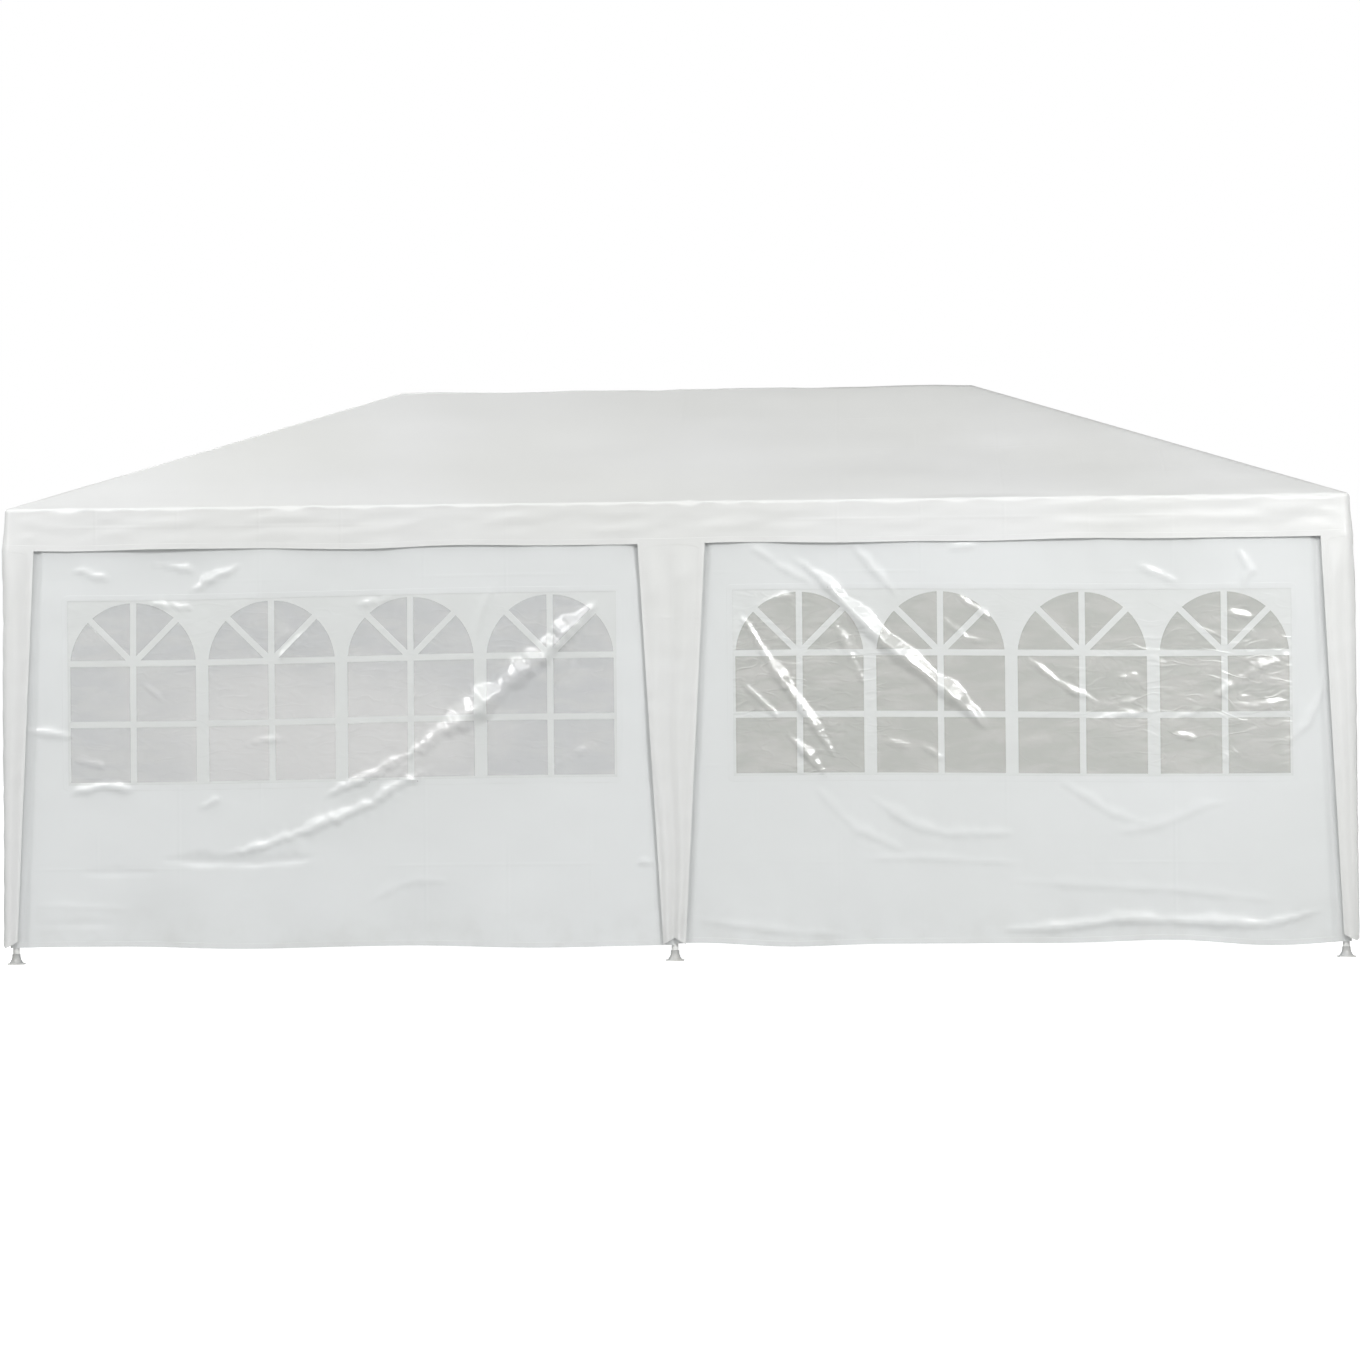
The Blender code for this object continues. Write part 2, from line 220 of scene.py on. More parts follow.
RIGHT_FOLDS = [
    ([(0.29, 1.55), (0.449, 1.285), (0.592, 1.081), (0.735, 0.87)], 0.036, 0.42, 0.0001),
    ([(0.52, 1.80), (0.66, 1.69), (0.79, 1.55), (0.93, 1.405), (1.113, 1.265), (1.285, 1.123), (1.43, 0.99)],
     0.060, 0.43, 0.0001),
    ([(0.30, 1.23), (0.48, 1.06)], 0.026, 0.43, 0.0002),
    ([(0.49, 1.02), (0.59, 0.908), (0.69, 0.80)], 0.030, 0.44, 0.0003),
    ([(1.54, 1.36), (1.707, 1.225), (1.80, 1.175), (1.90, 1.14)], 0.024, 0.36, 0.0006),
    ([(1.83, 1.145), (1.973, 1.122), (2.13, 1.168)], 0.024, 0.36, 0.0008),
    ([(1.85, 1.06), (2.011, 1.084), (2.14, 1.098)], 0.024, 0.36, 0.0008),
    ([(2.17, 1.045), (2.336, 1.10), (2.455, 1.198), (2.585, 1.278), (2.76, 1.352)], 0.030, 0.37, 0.0010),
    ([(2.46, 1.125), (2.583, 1.115), (2.75, 1.14)], 0.024, 0.38, 0.0006),
    ([(2.32, 0.825), (2.448, 0.892), (2.58, 0.945)], 0.024, 0.37, 0.0006),
    ([(1.94, 1.235), (2.09, 1.255)], 0.024, 0.34, 0.0004),
    ([(2.20, 1.00), (2.33, 0.97)], 0.024, 0.34, 0.0004),
    ([(2.44, 1.532), (2.58, 1.510)], 0.024, 0.38, 0.0003),
    ([(1.25, 1.615), (1.43, 1.495)], 0.024, 0.34, 0.0006),
    ([(1.19, 1.515), (1.307, 1.417), (1.43, 1.39)], 0.024, 0.34, 0.0006),
    ([(0.68, 1.575), (0.778, 1.369), (0.855, 1.205)], 0.036, 0.26, 0.0006),
    ([(0.40, 1.575), (0.55, 1.615)], 0.024, 0.32, 0.0004),
    ([(0.92, 0.957), (1.07, 0.937)], 0.024, 0.34, 0.0003),
    ([(1.10, 0.945), (1.21, 0.875)], 0.024, 0.34, 0.0003),
    ([(1.53, 0.955), (1.68, 0.975)], 0.024, 0.30, 0.0003),
    ([(2.66, 0.90), (2.81, 1.042), (2.885, 1.213), (2.90, 1.36)], 0.030, 0.24, 0.0003),
    ([(0.62, 0.77), (0.799, 0.579), (1.03, 0.475)], 0.045, 0.15, 0.0004),
    ([(0.85, 0.73), (1.068, 0.587), (1.221, 0.553), (1.54, 0.555)], 0.040, 0.18, 0.0005),
    ([(1.70, 0.80), (1.949, 0.643), (2.12, 0.595)], 0.036, 0.16, 0.0005),
    ([(1.93, 0.555), (2.158, 0.597), (2.331, 0.673), (2.50, 0.71)], 0.040, 0.13, 0.0005),
    ([(0.74, 0.444), (1.105, 0.446), (1.59, 0.418)], 0.024, 0.18, 0.0003),
    ([(1.45, 0.350), (1.717, 0.334), (2.06, 0.309), (2.75, 0.258)], 0.036, 0.12, 0.0002),
    ([(1.35, 0.120), (1.753, 0.140), (1.963, 0.168), (2.249, 0.151), (2.629, 0.160), (2.93, 0.235)],
     0.040, 0.29, 0.0005),
    ([(0.06, 0.18), (0.294, 0.149), (0.80, 0.115)], 0.030, 0.16, 0.0003),
    ([(0.80, 1.85), (0.887, 1.734), (1.01, 1.60)], 0.034, 0.28, 0.0006),
    ([(0.34, 1.85), (0.483, 1.739), (0.64, 1.655)], 0.030, 0.24, 0.0006),
    ([(1.23, 1.820), (1.36, 1.835)], 0.024, 0.30, 0.0004),
    ([(2.05, 1.75), (2.25, 1.665)], 0.026, 0.26, 0.0005),
    ([(2.50, 1.82), (2.56, 1.715), (2.52, 1.62)], 0.026, 0.24, 0.0004),
]

# Studio light: name, place, target, size and power
LIGHTS = [
    ("strip_light", (-0.25, -10.0, 7.6), (-0.25, 0.0, 1.1), (14.5, 0.6), 660.0),
    ("softbox_right", (7.2, -10.0, 5.6), (0.6, -1.5, 1.2), (1.6, 1.0), 200.0),
    ("top_left", (-6.0, -2.5, 7.0), (-1.5, -0.8, 2.3), (1.6, 1.6), 185.0),
    ("fill_left", (-5.2, -4.6, 3.4), (-2.6, -1.5, 1.95), (1.0, 1.0), 44.0),
    ("fill_right", (3.8, -6.0, 3.6), (2.2, -1.5, 1.9), (1.2, 1.2), 92.0),
    ("fill_rear", (-2.5, 9.5, 6.0), (-0.3, 1.5, 1.3), (6.0, 3.0), 210.0),
]
SUN_STRENGTH = 1.2
SUN_WIDTH = radians(50.0)
SUN_WAY = (-0.05, 0.45, -0.89)
WORLD_LOW = 0.34
WORLD_HIGH = 0.50
FLOOR_SEEN = 1.0
FLOOR_GLOW = 0.31


def smooth(low, high, value):
    """0 below low, 1 above high, and a soft step between."""
    share = np.clip((value - low) / (high - low), 0.0, 1.0)
    return share * share * (3.0 - 2.0 * share)


def ripple(u, v, seed, wavelength, count=9):
    """Even unevenness of a cloth, about -1 to 1."""
    draw = np.random.default_rng(seed)
    total = np.zeros(np.shape(u))
    for _ in range(count):
        heading = draw.uniform(0.0, pi)
        turns = 2.0 * pi / (wavelength * draw.uniform(0.7, 1.5))
        total += np.cos(turns * (u * cos(heading) + v * sin(heading)) + draw.uniform(0.0, 2.0 * pi))
    return total / sqrt(count)


def zigzag(value, period):
    """-1 to 1 and back in straight lines, like a sheet folded for packing."""
    return 2.0 * np.abs(2.0 * (value / period - np.floor(value / period + 0.5))) - 1.0


def soft_least(first, second, softness):
    """The smaller of two values, rounded where they meet."""
    share = np.clip(0.5 + 0.5 * (second - first) / softness, 0.0, 1.0)
    return second + (first - second) * share - softness * share * (1.0 - share)


def fold(u, v, route, width, slope, crumpling, seed=1):
    """One pulled fold along a route of (u, v) points: a straight upper flank and a shorter lower one."""
    nearest = np.full(np.shape(u), np.inf)
    place = np.zeros(np.shape(u))
    above = np.ones(np.shape(u))
    start = 0.0
    for (au, av), (bu, bv) in zip(route, route[1:]):
        length = hypot(bu - au, bv - av)
        share = np.clip(((u - au) * (bu - au) + (v - av) * (bv - av)) / length**2, 0.0, 1.0)
        distance = np.hypot(u - au - share * (bu - au), v - av - share * (bv - av))
        closer = distance < nearest
        side = ((v - av) * (bu - au) - (u - au) * (bv - av)) * (1.0 if bu > au else -1.0)
        place = np.where(closer, start + share * length, place)
        above = np.where(closer, side, above)
        nearest = np.minimum(nearest, distance)
        start += length
    still = np.zeros(np.shape(u))
    ends = smooth(0.0, 0.3, place / start) * smooth(0.0, 0.3, 1.0 - place / start)
    jag = 4.0 * crumpling + 0.05 * max(0.0, width - 0.03)
    across = np.where(above > 0.0, nearest, -nearest) + jag * ripple(place, still, seed + 3, 0.06)
    reach = width * (0.15 + 0.85 * np.sqrt(ends)) * (1.0 + 0.25 * ripple(place, still, seed, 0.16))
    reach = np.maximum(reach, 0.15 * width)
    crest = soft_least(1.0 - across / reach, 1.0 + across / (0.6 * reach), 0.18)
    crest = -soft_least(-crest, still, 0.14) * np.minimum(1.0, 6.0 * ends + 0.1)
    fading = np.exp(-((nearest / (1.6 * width)) ** 2)) * ends
    return slope * reach * crest + crumpling * ripple(u, v, seed + 7, 0.055, 12) * fading


def lines(start, end, step, *fixed):
    """Grid lines about a step apart that pass through every fixed place."""
    stops = sorted({start, end, *fixed})
    places = [np.array([stops[0]])]
    for low, high in zip(stops, stops[1:]):
        count = max(1, round((high - low) / step))
        places.append(np.linspace(low, high, count + 1)[1:])
    return np.concatenate(places)


class Sheet:
    """Points, faces and cut edges of one cloth, collected while it is laid out."""

    def __init__(self):
        self.points = []
        self.faces = []
        self.sides = []
        self.edge = []

    def row(self, places, edge=1.0):
        """Adds a row of points, with how far each lies from the cut edge of the cloth."""
        first = len(self.points)
        self.points += [tuple(place) for place in places]
        self.edge += list(np.broadcast_to(edge, len(places)))
        return list(range(first, len(self.points)))

    def face(self, corners, side):
        self.faces.append(tuple(corners))
        self.sides.append(side)

    def band(self, upper, lower, sides):
        """Faces between two rows, the second below the first: one for each side's name given."""
        for k, side in enumerate(sides):
            after = (k + 1) % len(upper)
            self.face((lower[k], lower[after], upper[after], upper[k]), side)


def put_in_scene(name, data):
    """An object at the origin that shows a mesh, a light or a camera."""
    obj = bpy.data.objects.new(name, data)
    bpy.context.scene.collection.objects.link(obj)
    return obj


def mesh_object(name, points, faces, material, flat_map, edge_distance=None):
    """A cloth at the origin. flat_map is where each point, or each face's corner, lies on it when flat."""
    mesh = bpy.data.meshes.new(name)
    mesh.from_pydata([tuple(p) for p in points], [], faces)
    flat_map = np.asarray(flat_map, dtype=np.float32)
    if len(flat_map) != len(mesh.loops):
        corners = np.empty(len(mesh.loops), dtype=np.int32)
        mesh.loops.foreach_get("vertex_index", corners)
        flat_map = flat_map[corners]
    mesh.uv_layers.new(name="cloth").data.foreach_set("uv", flat_map.ravel())
    if edge_distance is not None:
        attribute = mesh.attributes.new("edge_distance", "FLOAT", "POINT")
        attribute.data.foreach_set("value", np.asarray(edge_distance, dtype=np.float32).ravel())
    mesh.shade_smooth()
    counts = np.zeros(len(mesh.edges), dtype=np.int32)
    borders = np.empty(len(mesh.loops), dtype=np.int32)
    mesh.loops.foreach_get("edge_index", borders)
    np.add.at(counts, borders, 1)
    mesh.attributes.new("sharp_edge", "BOOLEAN", "EDGE").data.foreach_set("value", counts == 1)
    mesh.materials.append(material)
    return put_in_scene(name, mesh)


def thicken(obj, thickness=SHEET):
    """Gives a single sheet its thickness, inwards from its outer face."""
    modifier = obj.modifiers.new("thickness", "SOLIDIFY")
    modifier.thickness = thickness
    modifier.offset = -1.0
    modifier.use_rim = True
    return obj


def evaluated_mesh(obj):
    """A plain mesh of an object with its modifiers worked in."""
    graph = bpy.context.evaluated_depsgraph_get()
    graph.update()
    return bpy.data.meshes.new_from_object(obj.evaluated_get(graph), depsgraph=graph)


def finish_piece(obj, slot, *nodes):
    """Rides a piece on the tent and hides the nodes that it stands for. slot, what the piece is made of, is
    not used.
    """
    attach(obj, "root")
    if nodes:
        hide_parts(*nodes)
    return obj


class Nodes:
    """A node tree, with short ways to place and link nodes in it."""

    def __init__(self, tree):
        self.tree = tree

    def fill(self, node, inputs):
        """Links or sets a node's inputs. Three numbers are enough for an opaque colour."""
        for key, value in inputs.items():
            socket = node.inputs[key]
            if isinstance(value, bpy.types.NodeSocket):
                self.tree.links.new(value, socket)
            elif socket.type == "RGBA":
                socket.default_value = (*value, 1.0)
            else:
                socket.default_value = value
        return node

    def add(self, kind, inputs=(), **settings):
        made = self.tree.nodes.new(kind)
        for key, value in settings.items():
            setattr(made, key, value)
        return self.fill(made, dict(inputs))

    def maths(self, operation, *values):
        return self.add("ShaderNodeMath", enumerate(values), operation=operation).outputs[0]

    def vector_maths(self, operation, *values):
        return self.add("ShaderNodeVectorMath", enumerate(values), operation=operation).outputs

    def remap(self, value, start, end, to_start=0.0, to_end=1.0, kind="SMOOTHSTEP"):
        inputs = {"Value": value, "From Min": start, "From Max": end, "To Min": to_start, "To Max": to_end}
        return self.add("ShaderNodeMapRange", inputs, interpolation_type=kind).outputs["Result"]

    def blend(self, share, first, second):
        return self.add("ShaderNodeMix", {0: share, 6: first, 7: second}, data_type="RGBA").outputs[2]

    def noise(self, vector, scale, detail, distortion=0.0):
        inputs = {"Vector": vector, "Scale": scale, "Detail": detail, "Distortion": distortion}
        return self.add("ShaderNodeTexNoise", inputs).outputs["Fac"]

    def bump(self, height, distance, strength, normal=None):
        inputs = {"Height": height, "Distance": distance, "Strength": strength}
        if normal is not None:
            inputs["Normal"] = normal
        return self.add("ShaderNodeBump", inputs).outputs["Normal"]

    def parts(self, vector):
        """The X, Y and Z of a vector."""
        return self.add("ShaderNodeSeparateXYZ", {0: vector}).outputs

    def effect(self, name, inputs):
        """What one of the shared effects puts out."""
        return self.add("ShaderNodeGroup", inputs, node_tree=EFFECTS[name]).outputs[0]

    def put_out(self, value):
        """Ends a group with its one output."""
        result = self.tree.nodes.new("NodeGroupOutput")
        self.tree.links.new(value, result.inputs[0])
        return self.tree


def new_tree(name, kind, inputs, output):
    """A node group with inputs, each (name, kind, value), and one output. Gives its nodes and its inputs."""
    tree = bpy.data.node_groups.new(name, f"{kind}NodeTree")
    for label, sort, value in inputs:
        socket = tree.interface.new_socket(label, in_out="INPUT", socket_type=f"NodeSocket{sort}")
        if value is not None:
            socket.default_value = value
    label, sort = output
    tree.interface.new_socket(label, in_out="OUTPUT", socket_type=f"NodeSocket{sort}")
    return Nodes(tree), tree.nodes.new("NodeGroupInput").outputs


def new_effect(name, inputs, output):
    """A shader group. An input is a number, or None or three numbers for a vector."""
    sorts = ["Float" if isinstance(value, float) else "Vector" for value in inputs.values()]
    return new_tree(name, "Shader", list(zip(inputs, sorts, inputs.values())), (output, "Float"))


def woven_tape():
    """Flat tapes woven over and under each other, as in coated polyethylene cloth."""
    weave, given = new_effect("woven tape", {"Vector": None, "Tape Width": 0.0025}, "Height")
    place, width = weave.parts(given["Vector"]), given["Tape Width"]
    across = weave.maths("PINGPONG", place["X"], width)
    along = weave.maths("PINGPONG", place["Y"], width)
    column = weave.maths("FLOOR", weave.maths("DIVIDE", place["X"], width))
    row = weave.maths("FLOOR", weave.maths("DIVIDE", place["Y"], width))
    over = weave.maths("ABSOLUTE", weave.maths("MODULO", weave.maths("ADD", column, row), 2.0))
    mixed = weave.add("ShaderNodeMix", {0: over, 2: across, 3: along}, data_type="FLOAT")
    return weave.put_out(weave.maths("DIVIDE", mixed.outputs[0], width))


def crumple():
    """Small wrinkles left by packing: soft swells with fine sharp ridges over them."""
    inputs = {"Vector": None, "Size": 0.05, "Stretch": 2.0, "Sharpness": 0.2}
    wrinkles, given = new_effect("crumple", inputs, "Height")
    scale = wrinkles.maths("DIVIDE", 1.0, given["Size"])
    place = wrinkles.parts(given["Vector"])
    squeezed = wrinkles.maths("MULTIPLY", place["Y"], given["Stretch"])
    vector = wrinkles.add("ShaderNodeCombineXYZ", {"X": place["X"], "Y": squeezed}).outputs[0]
    swells = wrinkles.noise(vector, scale, 1.0)
    finer = wrinkles.noise(vector, wrinkles.maths("MULTIPLY", scale, 0.7), 1.5, 0.5)
    off_ridge = wrinkles.maths("ABSOLUTE", wrinkles.maths("SUBTRACT", finer, 0.5))
    ridges = wrinkles.remap(off_ridge, 0.0, 0.09, 1.0, 0.0)
    return wrinkles.put_out(wrinkles.maths("MULTIPLY_ADD", ridges, given["Sharpness"], swells))


def packing_creases():
    """Straight creases where the sheet was folded in its bag, broken here and there."""
    inputs = {"Vector": None, "Spacing Across": 0.37, "Spacing Down": 0.43, "Width": 0.012}
    creases, given = new_effect("packing creases", inputs, "Height")
    place = creases.parts(given["Vector"])
    shown = creases.remap(creases.noise(given["Vector"], 1.6, 0.0), 0.46, 0.66)
    total = 0.0
    for axis, spacing in (("X", "Spacing Across"), ("Y", "Spacing Down")):
        half = creases.maths("MULTIPLY", given[spacing], 0.5)
        distance = creases.maths("PINGPONG", place[axis], half)
        total = creases.maths("ADD", creases.remap(distance, 0.0, given["Width"], 1.0, 0.0), total)
    return creases.put_out(creases.maths("MULTIPLY", total, shown))


def hem_band():
    """1 on the doubled band along an edge of a sheet, 0 on the single cloth beyond it."""
    band, given = new_effect("hem band", {"Distance": 1.0, "Width": 0.025}, "Mask")
    inner = band.maths("SUBTRACT", given["Width"], 0.0015)
    return band.put_out(band.remap(given["Distance"], inner, given["Width"], 1.0, 0.0))


def ground_grime():
    """Faint grey, splashed up from the ground."""
    dirt, given = new_effect("ground grime", {"Place": None, "Reach": 0.35}, "Mask")
    low = dirt.remap(dirt.parts(given["Place"])["Z"], 0.0, given["Reach"], 1.0, 0.0)
    spots = dirt.remap(dirt.noise(given["Place"], 9.0, 5.0), 0.4, 0.75)
    return dirt.put_out(dirt.maths("MULTIPLY", low, spots))


def soft_patch():
    """1 in the middle of an oval area of the tent, fading unevenly to 0 at its border."""
    inputs = {"Place": None, "Centre": None, "Reach": (1.0, 1.0, 1.0)}
    patch, given = new_effect("soft patch", inputs, "Mask")
    off = patch.vector_maths("SUBTRACT", given["Place"], given["Centre"])[0]
    distance = patch.vector_maths("LENGTH", patch.vector_maths("DIVIDE", off, given["Reach"])[0])["Value"]
    shaped = patch.maths("MULTIPLY_ADD", patch.noise(given["Place"], 3.0, 2.0), 0.8, distance)
    return patch.put_out(patch.remap(shaped, 0.85, 1.55, 1.0, 0.0))


EFFECTS = {
    "weave": woven_tape(),
    "crumple": crumple(),
    "creases": packing_creases(),
    "hem": hem_band(),
    "grime": ground_grime(),
    "patch": soft_patch(),
}


class Paint(Nodes):
    """A new material and its main shader."""

    def __init__(self, name):
        self.material = bpy.data.materials.new(name)
        self.material.use_nodes = True
        super().__init__(self.material.node_tree)
        self.shader = self.tree.nodes["Principled BSDF"]

    def tent_places(self):
        return self.add("ShaderNodeTexCoord").outputs["Object"]

    def flat_cloth(self):
        return self.add("ShaderNodeUVMap", uv_map="cloth").outputs["UV"]

    def finish(self, inputs):
        self.fill(self.shader, inputs)
        return self.material

    def let_light_through(self, colour, share):
        through = self.add("ShaderNodeBsdfTranslucent", {"Color": colour})
        mixer = self.add("ShaderNodeMixShader", {0: share, 1: self.shader.outputs[0], 2: through.outputs[0]})
        self.tree.links.new(mixer.outputs[0], self.tree.nodes["Material Output"].inputs["Surface"])


def polyethylene(name, light, shade, roughness, coat):
    """Woven polyethylene: slightly glossy, doubled at its hems, and letting some light through."""
    paint = Paint(name)
    flat, place = paint.flat_cloth(), paint.tent_places()
    edge = paint.add("ShaderNodeAttribute", attribute_name="edge_distance").outputs["Fac"]
    grime = paint.maths("MULTIPLY", paint.effect("grime", {"Place": place}), 0.25)
    colour = paint.blend(paint.remap(paint.noise(place, 0.9, 1.0), 0.3, 0.7), light, shade)
    gloss = paint.remap(paint.noise(place, 3.0, 2.0), 0.3, 0.7, roughness - 0.01, roughness + 0.04)
    normal = paint.bump(paint.effect("crumple", {"Vector": flat, "Size": 0.2, "Sharpness": 0.0}), 0.004, 0.5)
    normal = paint.bump(paint.effect("creases", {"Vector": flat}), 0.0016, 0.4, normal)
    normal = paint.bump(paint.effect("hem", {"Distance": edge}), 0.0008, 0.8, normal)
    normal = paint.bump(paint.effect("weave", {"Vector": flat}), 0.00012, 0.5, normal)
    paint.let_light_through(light, 0.36)
    return paint.finish({
        "Base Color": paint.blend(grime, colour, (0.46, 0.46, 0.43)), "Roughness": gloss, "Normal": normal,
        "Coat Weight": coat, "Coat Roughness": 0.17,
    })


def patch_mask(paint, place, centre, reach):
    return paint.effect("patch", {"Place": place, "Centre": centre, "Reach": reach})


def film_creases(paint, place):
    """Crinkles in the window strip, deep in two places and shallow in the rest."""
    height = paint.effect("crumple", {"Vector": paint.flat_cloth(), "Size": 0.10, "Stretch": 2.2})
    right = patch_mask(paint, place, (2.35, 0.0, 1.15), (0.75, 100.0, 0.36))
    left = patch_mask(paint, place, (0.55, 0.0, 1.25), (0.5, 100.0, 0.5))
    depth = paint.maths("MULTIPLY_ADD", paint.maths("ADD", right, left), 0.75, 0.25)
    return paint.bump(paint.maths("MULTIPLY", height, depth), 0.011, 0.55)


def clear_film():
    """The window strip: clear plastic film, a little milky and crinkled, with painted sheen in stripes and
    painted glare that makes the half towards -X and an oval patch on it paler.
    """
    paint = Paint("clear_film")
    place = paint.tent_places()
    x, y, z = paint.parts(place)
    # Painted sheen: stretched noise makes the film's colour paler in stripes, partly the film's own
    # cloudiness and partly painted reflection.
    waves = {"X": paint.maths("MULTIPLY", x, 5.0), "Y": y, "Z": paint.maths("MULTIPLY", z, 17.0)}
    milk_and_sheen = paint.noise(paint.add("ShaderNodeCombineXYZ", waves).outputs[0], 1.0, 2.0, 0.6)
    milk_and_sheen_stripes = paint.remap(milk_and_sheen, 0.38, 0.68)
    clean = paint.blend(milk_and_sheen_stripes, (0.675, 0.685, 0.655), (0.735, 0.735, 0.71))
    # Painted reflection: the film towards -X is painted paler, standing in for glare on it.
    glare_lit = paint.blend(milk_and_sheen_stripes, (0.76, 0.77, 0.775), (0.80, 0.805, 0.80))
    colour = paint.blend(paint.remap(x, -0.3, 0.3, 1.0, 0.0), clean, glare_lit)
    # Painted glare: an oval patch on the left half is painted paler still.
    painted_glare = patch_mask(paint, place, (-1.65, 0.0, 1.0), (0.95, 100.0, 0.42))
    return paint.finish({
        "Base Color": paint.blend(painted_glare, colour, (0.85, 0.85, 0.845)), "Normal": film_creases(paint, place),
        "Roughness": 0.18, "Transmission Weight": 0.6, "IOR": 1.45,
        "Coat Weight": 0.55, "Coat Roughness": 0.16,
    })


def printed_white():
    """White ink on the film: the window bars and the field round the arches."""
    paint = Paint("printed_white")
    place = paint.tent_places()
    paint.let_light_through((0.7, 0.72, 0.7), 0.3)
    return paint.finish({
        "Base Color": paint.blend(paint.noise(place, 9.0, 3.0), (0.64, 0.655, 0.645), (0.68, 0.695, 0.69)),
        "Normal": film_creases(paint, place), "Roughness": 0.22, "Coat Weight": 0.5, "Coat Roughness": 0.17,
    })


def coated_steel(name, colour, worn_colour):
    """Powder-coated tube: satin, faintly pebbled, and with dust near the ground."""
    paint = Paint(name)
    place = paint.tent_places()
    uneven = paint.noise(place, 6.0, 3.0)
    grime = paint.maths("MULTIPLY", paint.effect("grime", {"Place": place, "Reach": 0.15}), 0.5)
    base = paint.blend(paint.remap(uneven, 0.45, 0.75), colour, worn_colour)
    return paint.finish({
        "Base Color": paint.blend(grime, base, (0.33, 0.32, 0.29)),
        "Roughness": paint.remap(uneven, 0.3, 0.7, 0.3, 0.42),
        "Normal": paint.bump(paint.noise(place, 700.0, 1.0), 0.0002, 0.4),
    })


def specked(name, scale, detail, first, second):
    """A small part's material in two close colours, and its specks."""
    paint = Paint(name)
    specks = paint.noise(paint.tent_places(), scale, detail)
    paint.finish({"Base Color": paint.blend(specks, first, second)})
    return paint, specks


def bright_steel():
    """Zinc-plated spring buttons and zip sliders."""
    paint, specks = specked("bright_steel", 160.0, 3.0, (0.62, 0.61, 0.58), (0.74, 0.74, 0.73))
    return paint.finish({"Roughness": paint.remap(specks, 0.3, 0.7, 0.22, 0.38), "Metallic": 1.0})


def woven_webbing():
    """White narrow webbing, with its own finer weave."""
    paint, _ = specked("white_webbing", 420.0, 2.0, (0.66, 0.66, 0.63), (0.78, 0.78, 0.76))
    ribs = paint.effect("weave", {"Vector": paint.flat_cloth(), "Tape Width": 0.0011})
    return paint.finish({"Roughness": 0.75, "Normal": paint.bump(ribs, 0.0003, 0.7)})


def moulded_teeth():
    paint, specks = specked("zip_teeth", 90.0, 2.0, (0.60, 0.61, 0.60), (0.70, 0.71, 0.70))
    return paint.finish({"Roughness": paint.remap(specks, 0.3, 0.7, 0.3, 0.45)})


def sewing_thread():
    paint, twist = specked("sewing_thread", 900.0, 1.0, (0.62, 0.63, 0.62), (0.74, 0.75, 0.74))
    return paint.finish({"Roughness": 0.6, "Normal": paint.bump(twist, 0.0001, 0.5)})


ROOF_CLOTH = polyethylene("roof_cloth", (0.74, 0.745, 0.74), (0.715, 0.72, 0.705), 0.37, 0.22)
WALL_CLOTH = polyethylene("wall_cloth", (0.73, 0.745, 0.745), (0.70, 0.715, 0.71), 0.30, 0.55)
FILM = clear_film()
INK = printed_white()
STEEL = coated_steel("coated_steel", (0.72, 0.73, 0.72), (0.64, 0.65, 0.64))
FOOT_STEEL = coated_steel("foot_steel", (0.36, 0.37, 0.37), (0.30, 0.31, 0.31))
FOOT_BASE = coated_steel("foot_base", (0.62, 0.63, 0.62), (0.55, 0.56, 0.55))
BRIGHT_STEEL = bright_steel()
WEBBING = woven_webbing()
ZIP_TEETH = moulded_teeth()
THREAD = sewing_thread()


def roof_shares():
    """Grid lines from the eave, 0, to the ridge, 1, closer together near the corners."""
    near = lines(EAVE_INSET / HALF_WIDTH, COVER_SHARE, 0.0078)
    return np.concatenate([near, lines(COVER_SHARE, 1.0, 0.021)[1:]])


def roof_lift(x, y):
    """Height of the roof cloth: straight slopes, sagging a little between the tubes below."""
    share_x = (HALF_LENGTH - np.abs(x)) / (HALF_LENGTH - RIDGE_HALF)
    share_y = (HALF_WIDTH - np.abs(y)) / HALF_WIDTH
    share = np.minimum(np.minimum(share_x, share_y), 1.0)
    off_hip = np.abs(share_x - share_y)
    off_tube = np.where(share_y < share_x, np.minimum(off_hip, np.abs(x) / 1.2), off_hip)
    slack = smooth(0.01, 0.6, off_tube) * smooth(0.0, 0.4, share) * smooth(0.0, 0.45, 1.0 - share)
    calm = smooth(0.0, 0.12, off_tube) * smooth(0.0, 0.05, share)
    uneven = 0.0034 * ripple(x, y, 3, 0.8) + 0.0012 * ripple(x, y, 4, 0.24)
    return EAVE_HEIGHT + (RIDGE_HEIGHT - EAVE_HEIGHT) * share - ROOF_SAG * slack + calm * uneven


def lay_roof(sheet, across, along, corner_cells):
    """The sloped cloth, split along the hips, and the loop of its outer points with the side of each."""
    columns, rows = len(across), len(along)
    x, y = np.meshgrid(across, along, indexing="ij")
    at = np.array(sheet.row(np.stack([x, y, roof_lift(x, y)], axis=-1).reshape(-1, 3))).reshape(columns, rows)
    for i in range(columns - 1):
        for j in range(rows - 1):
            a, b, c, d = at[i, j], at[i + 1, j], at[i + 1, j + 1], at[i, j + 1]
            from_end = min(i, columns - 2 - i)
            from_side = min(j, rows - 2 - j)
            cell = ((a, b, c, d),)
            if from_end == from_side < corner_cells:
                rising = (i < columns / 2) == (j < rows / 2)
                cell = ((a, b, c), (a, c, d)) if rising else ((a, b, d), (b, c, d))
            for face in cell:
                sheet.face(face, "roof")
    loop = [(at[i, 0], "front") for i in range(columns - 1)]
    loop += [(at[-1, j], "right") for j in range(rows - 1)]
    loop += [(at[i, -1], "rear") for i in range(columns - 1, 0, -1)]
    loop += [(at[0, j], "left") for j in range(rows - 1, 0, -1)]
    return loop


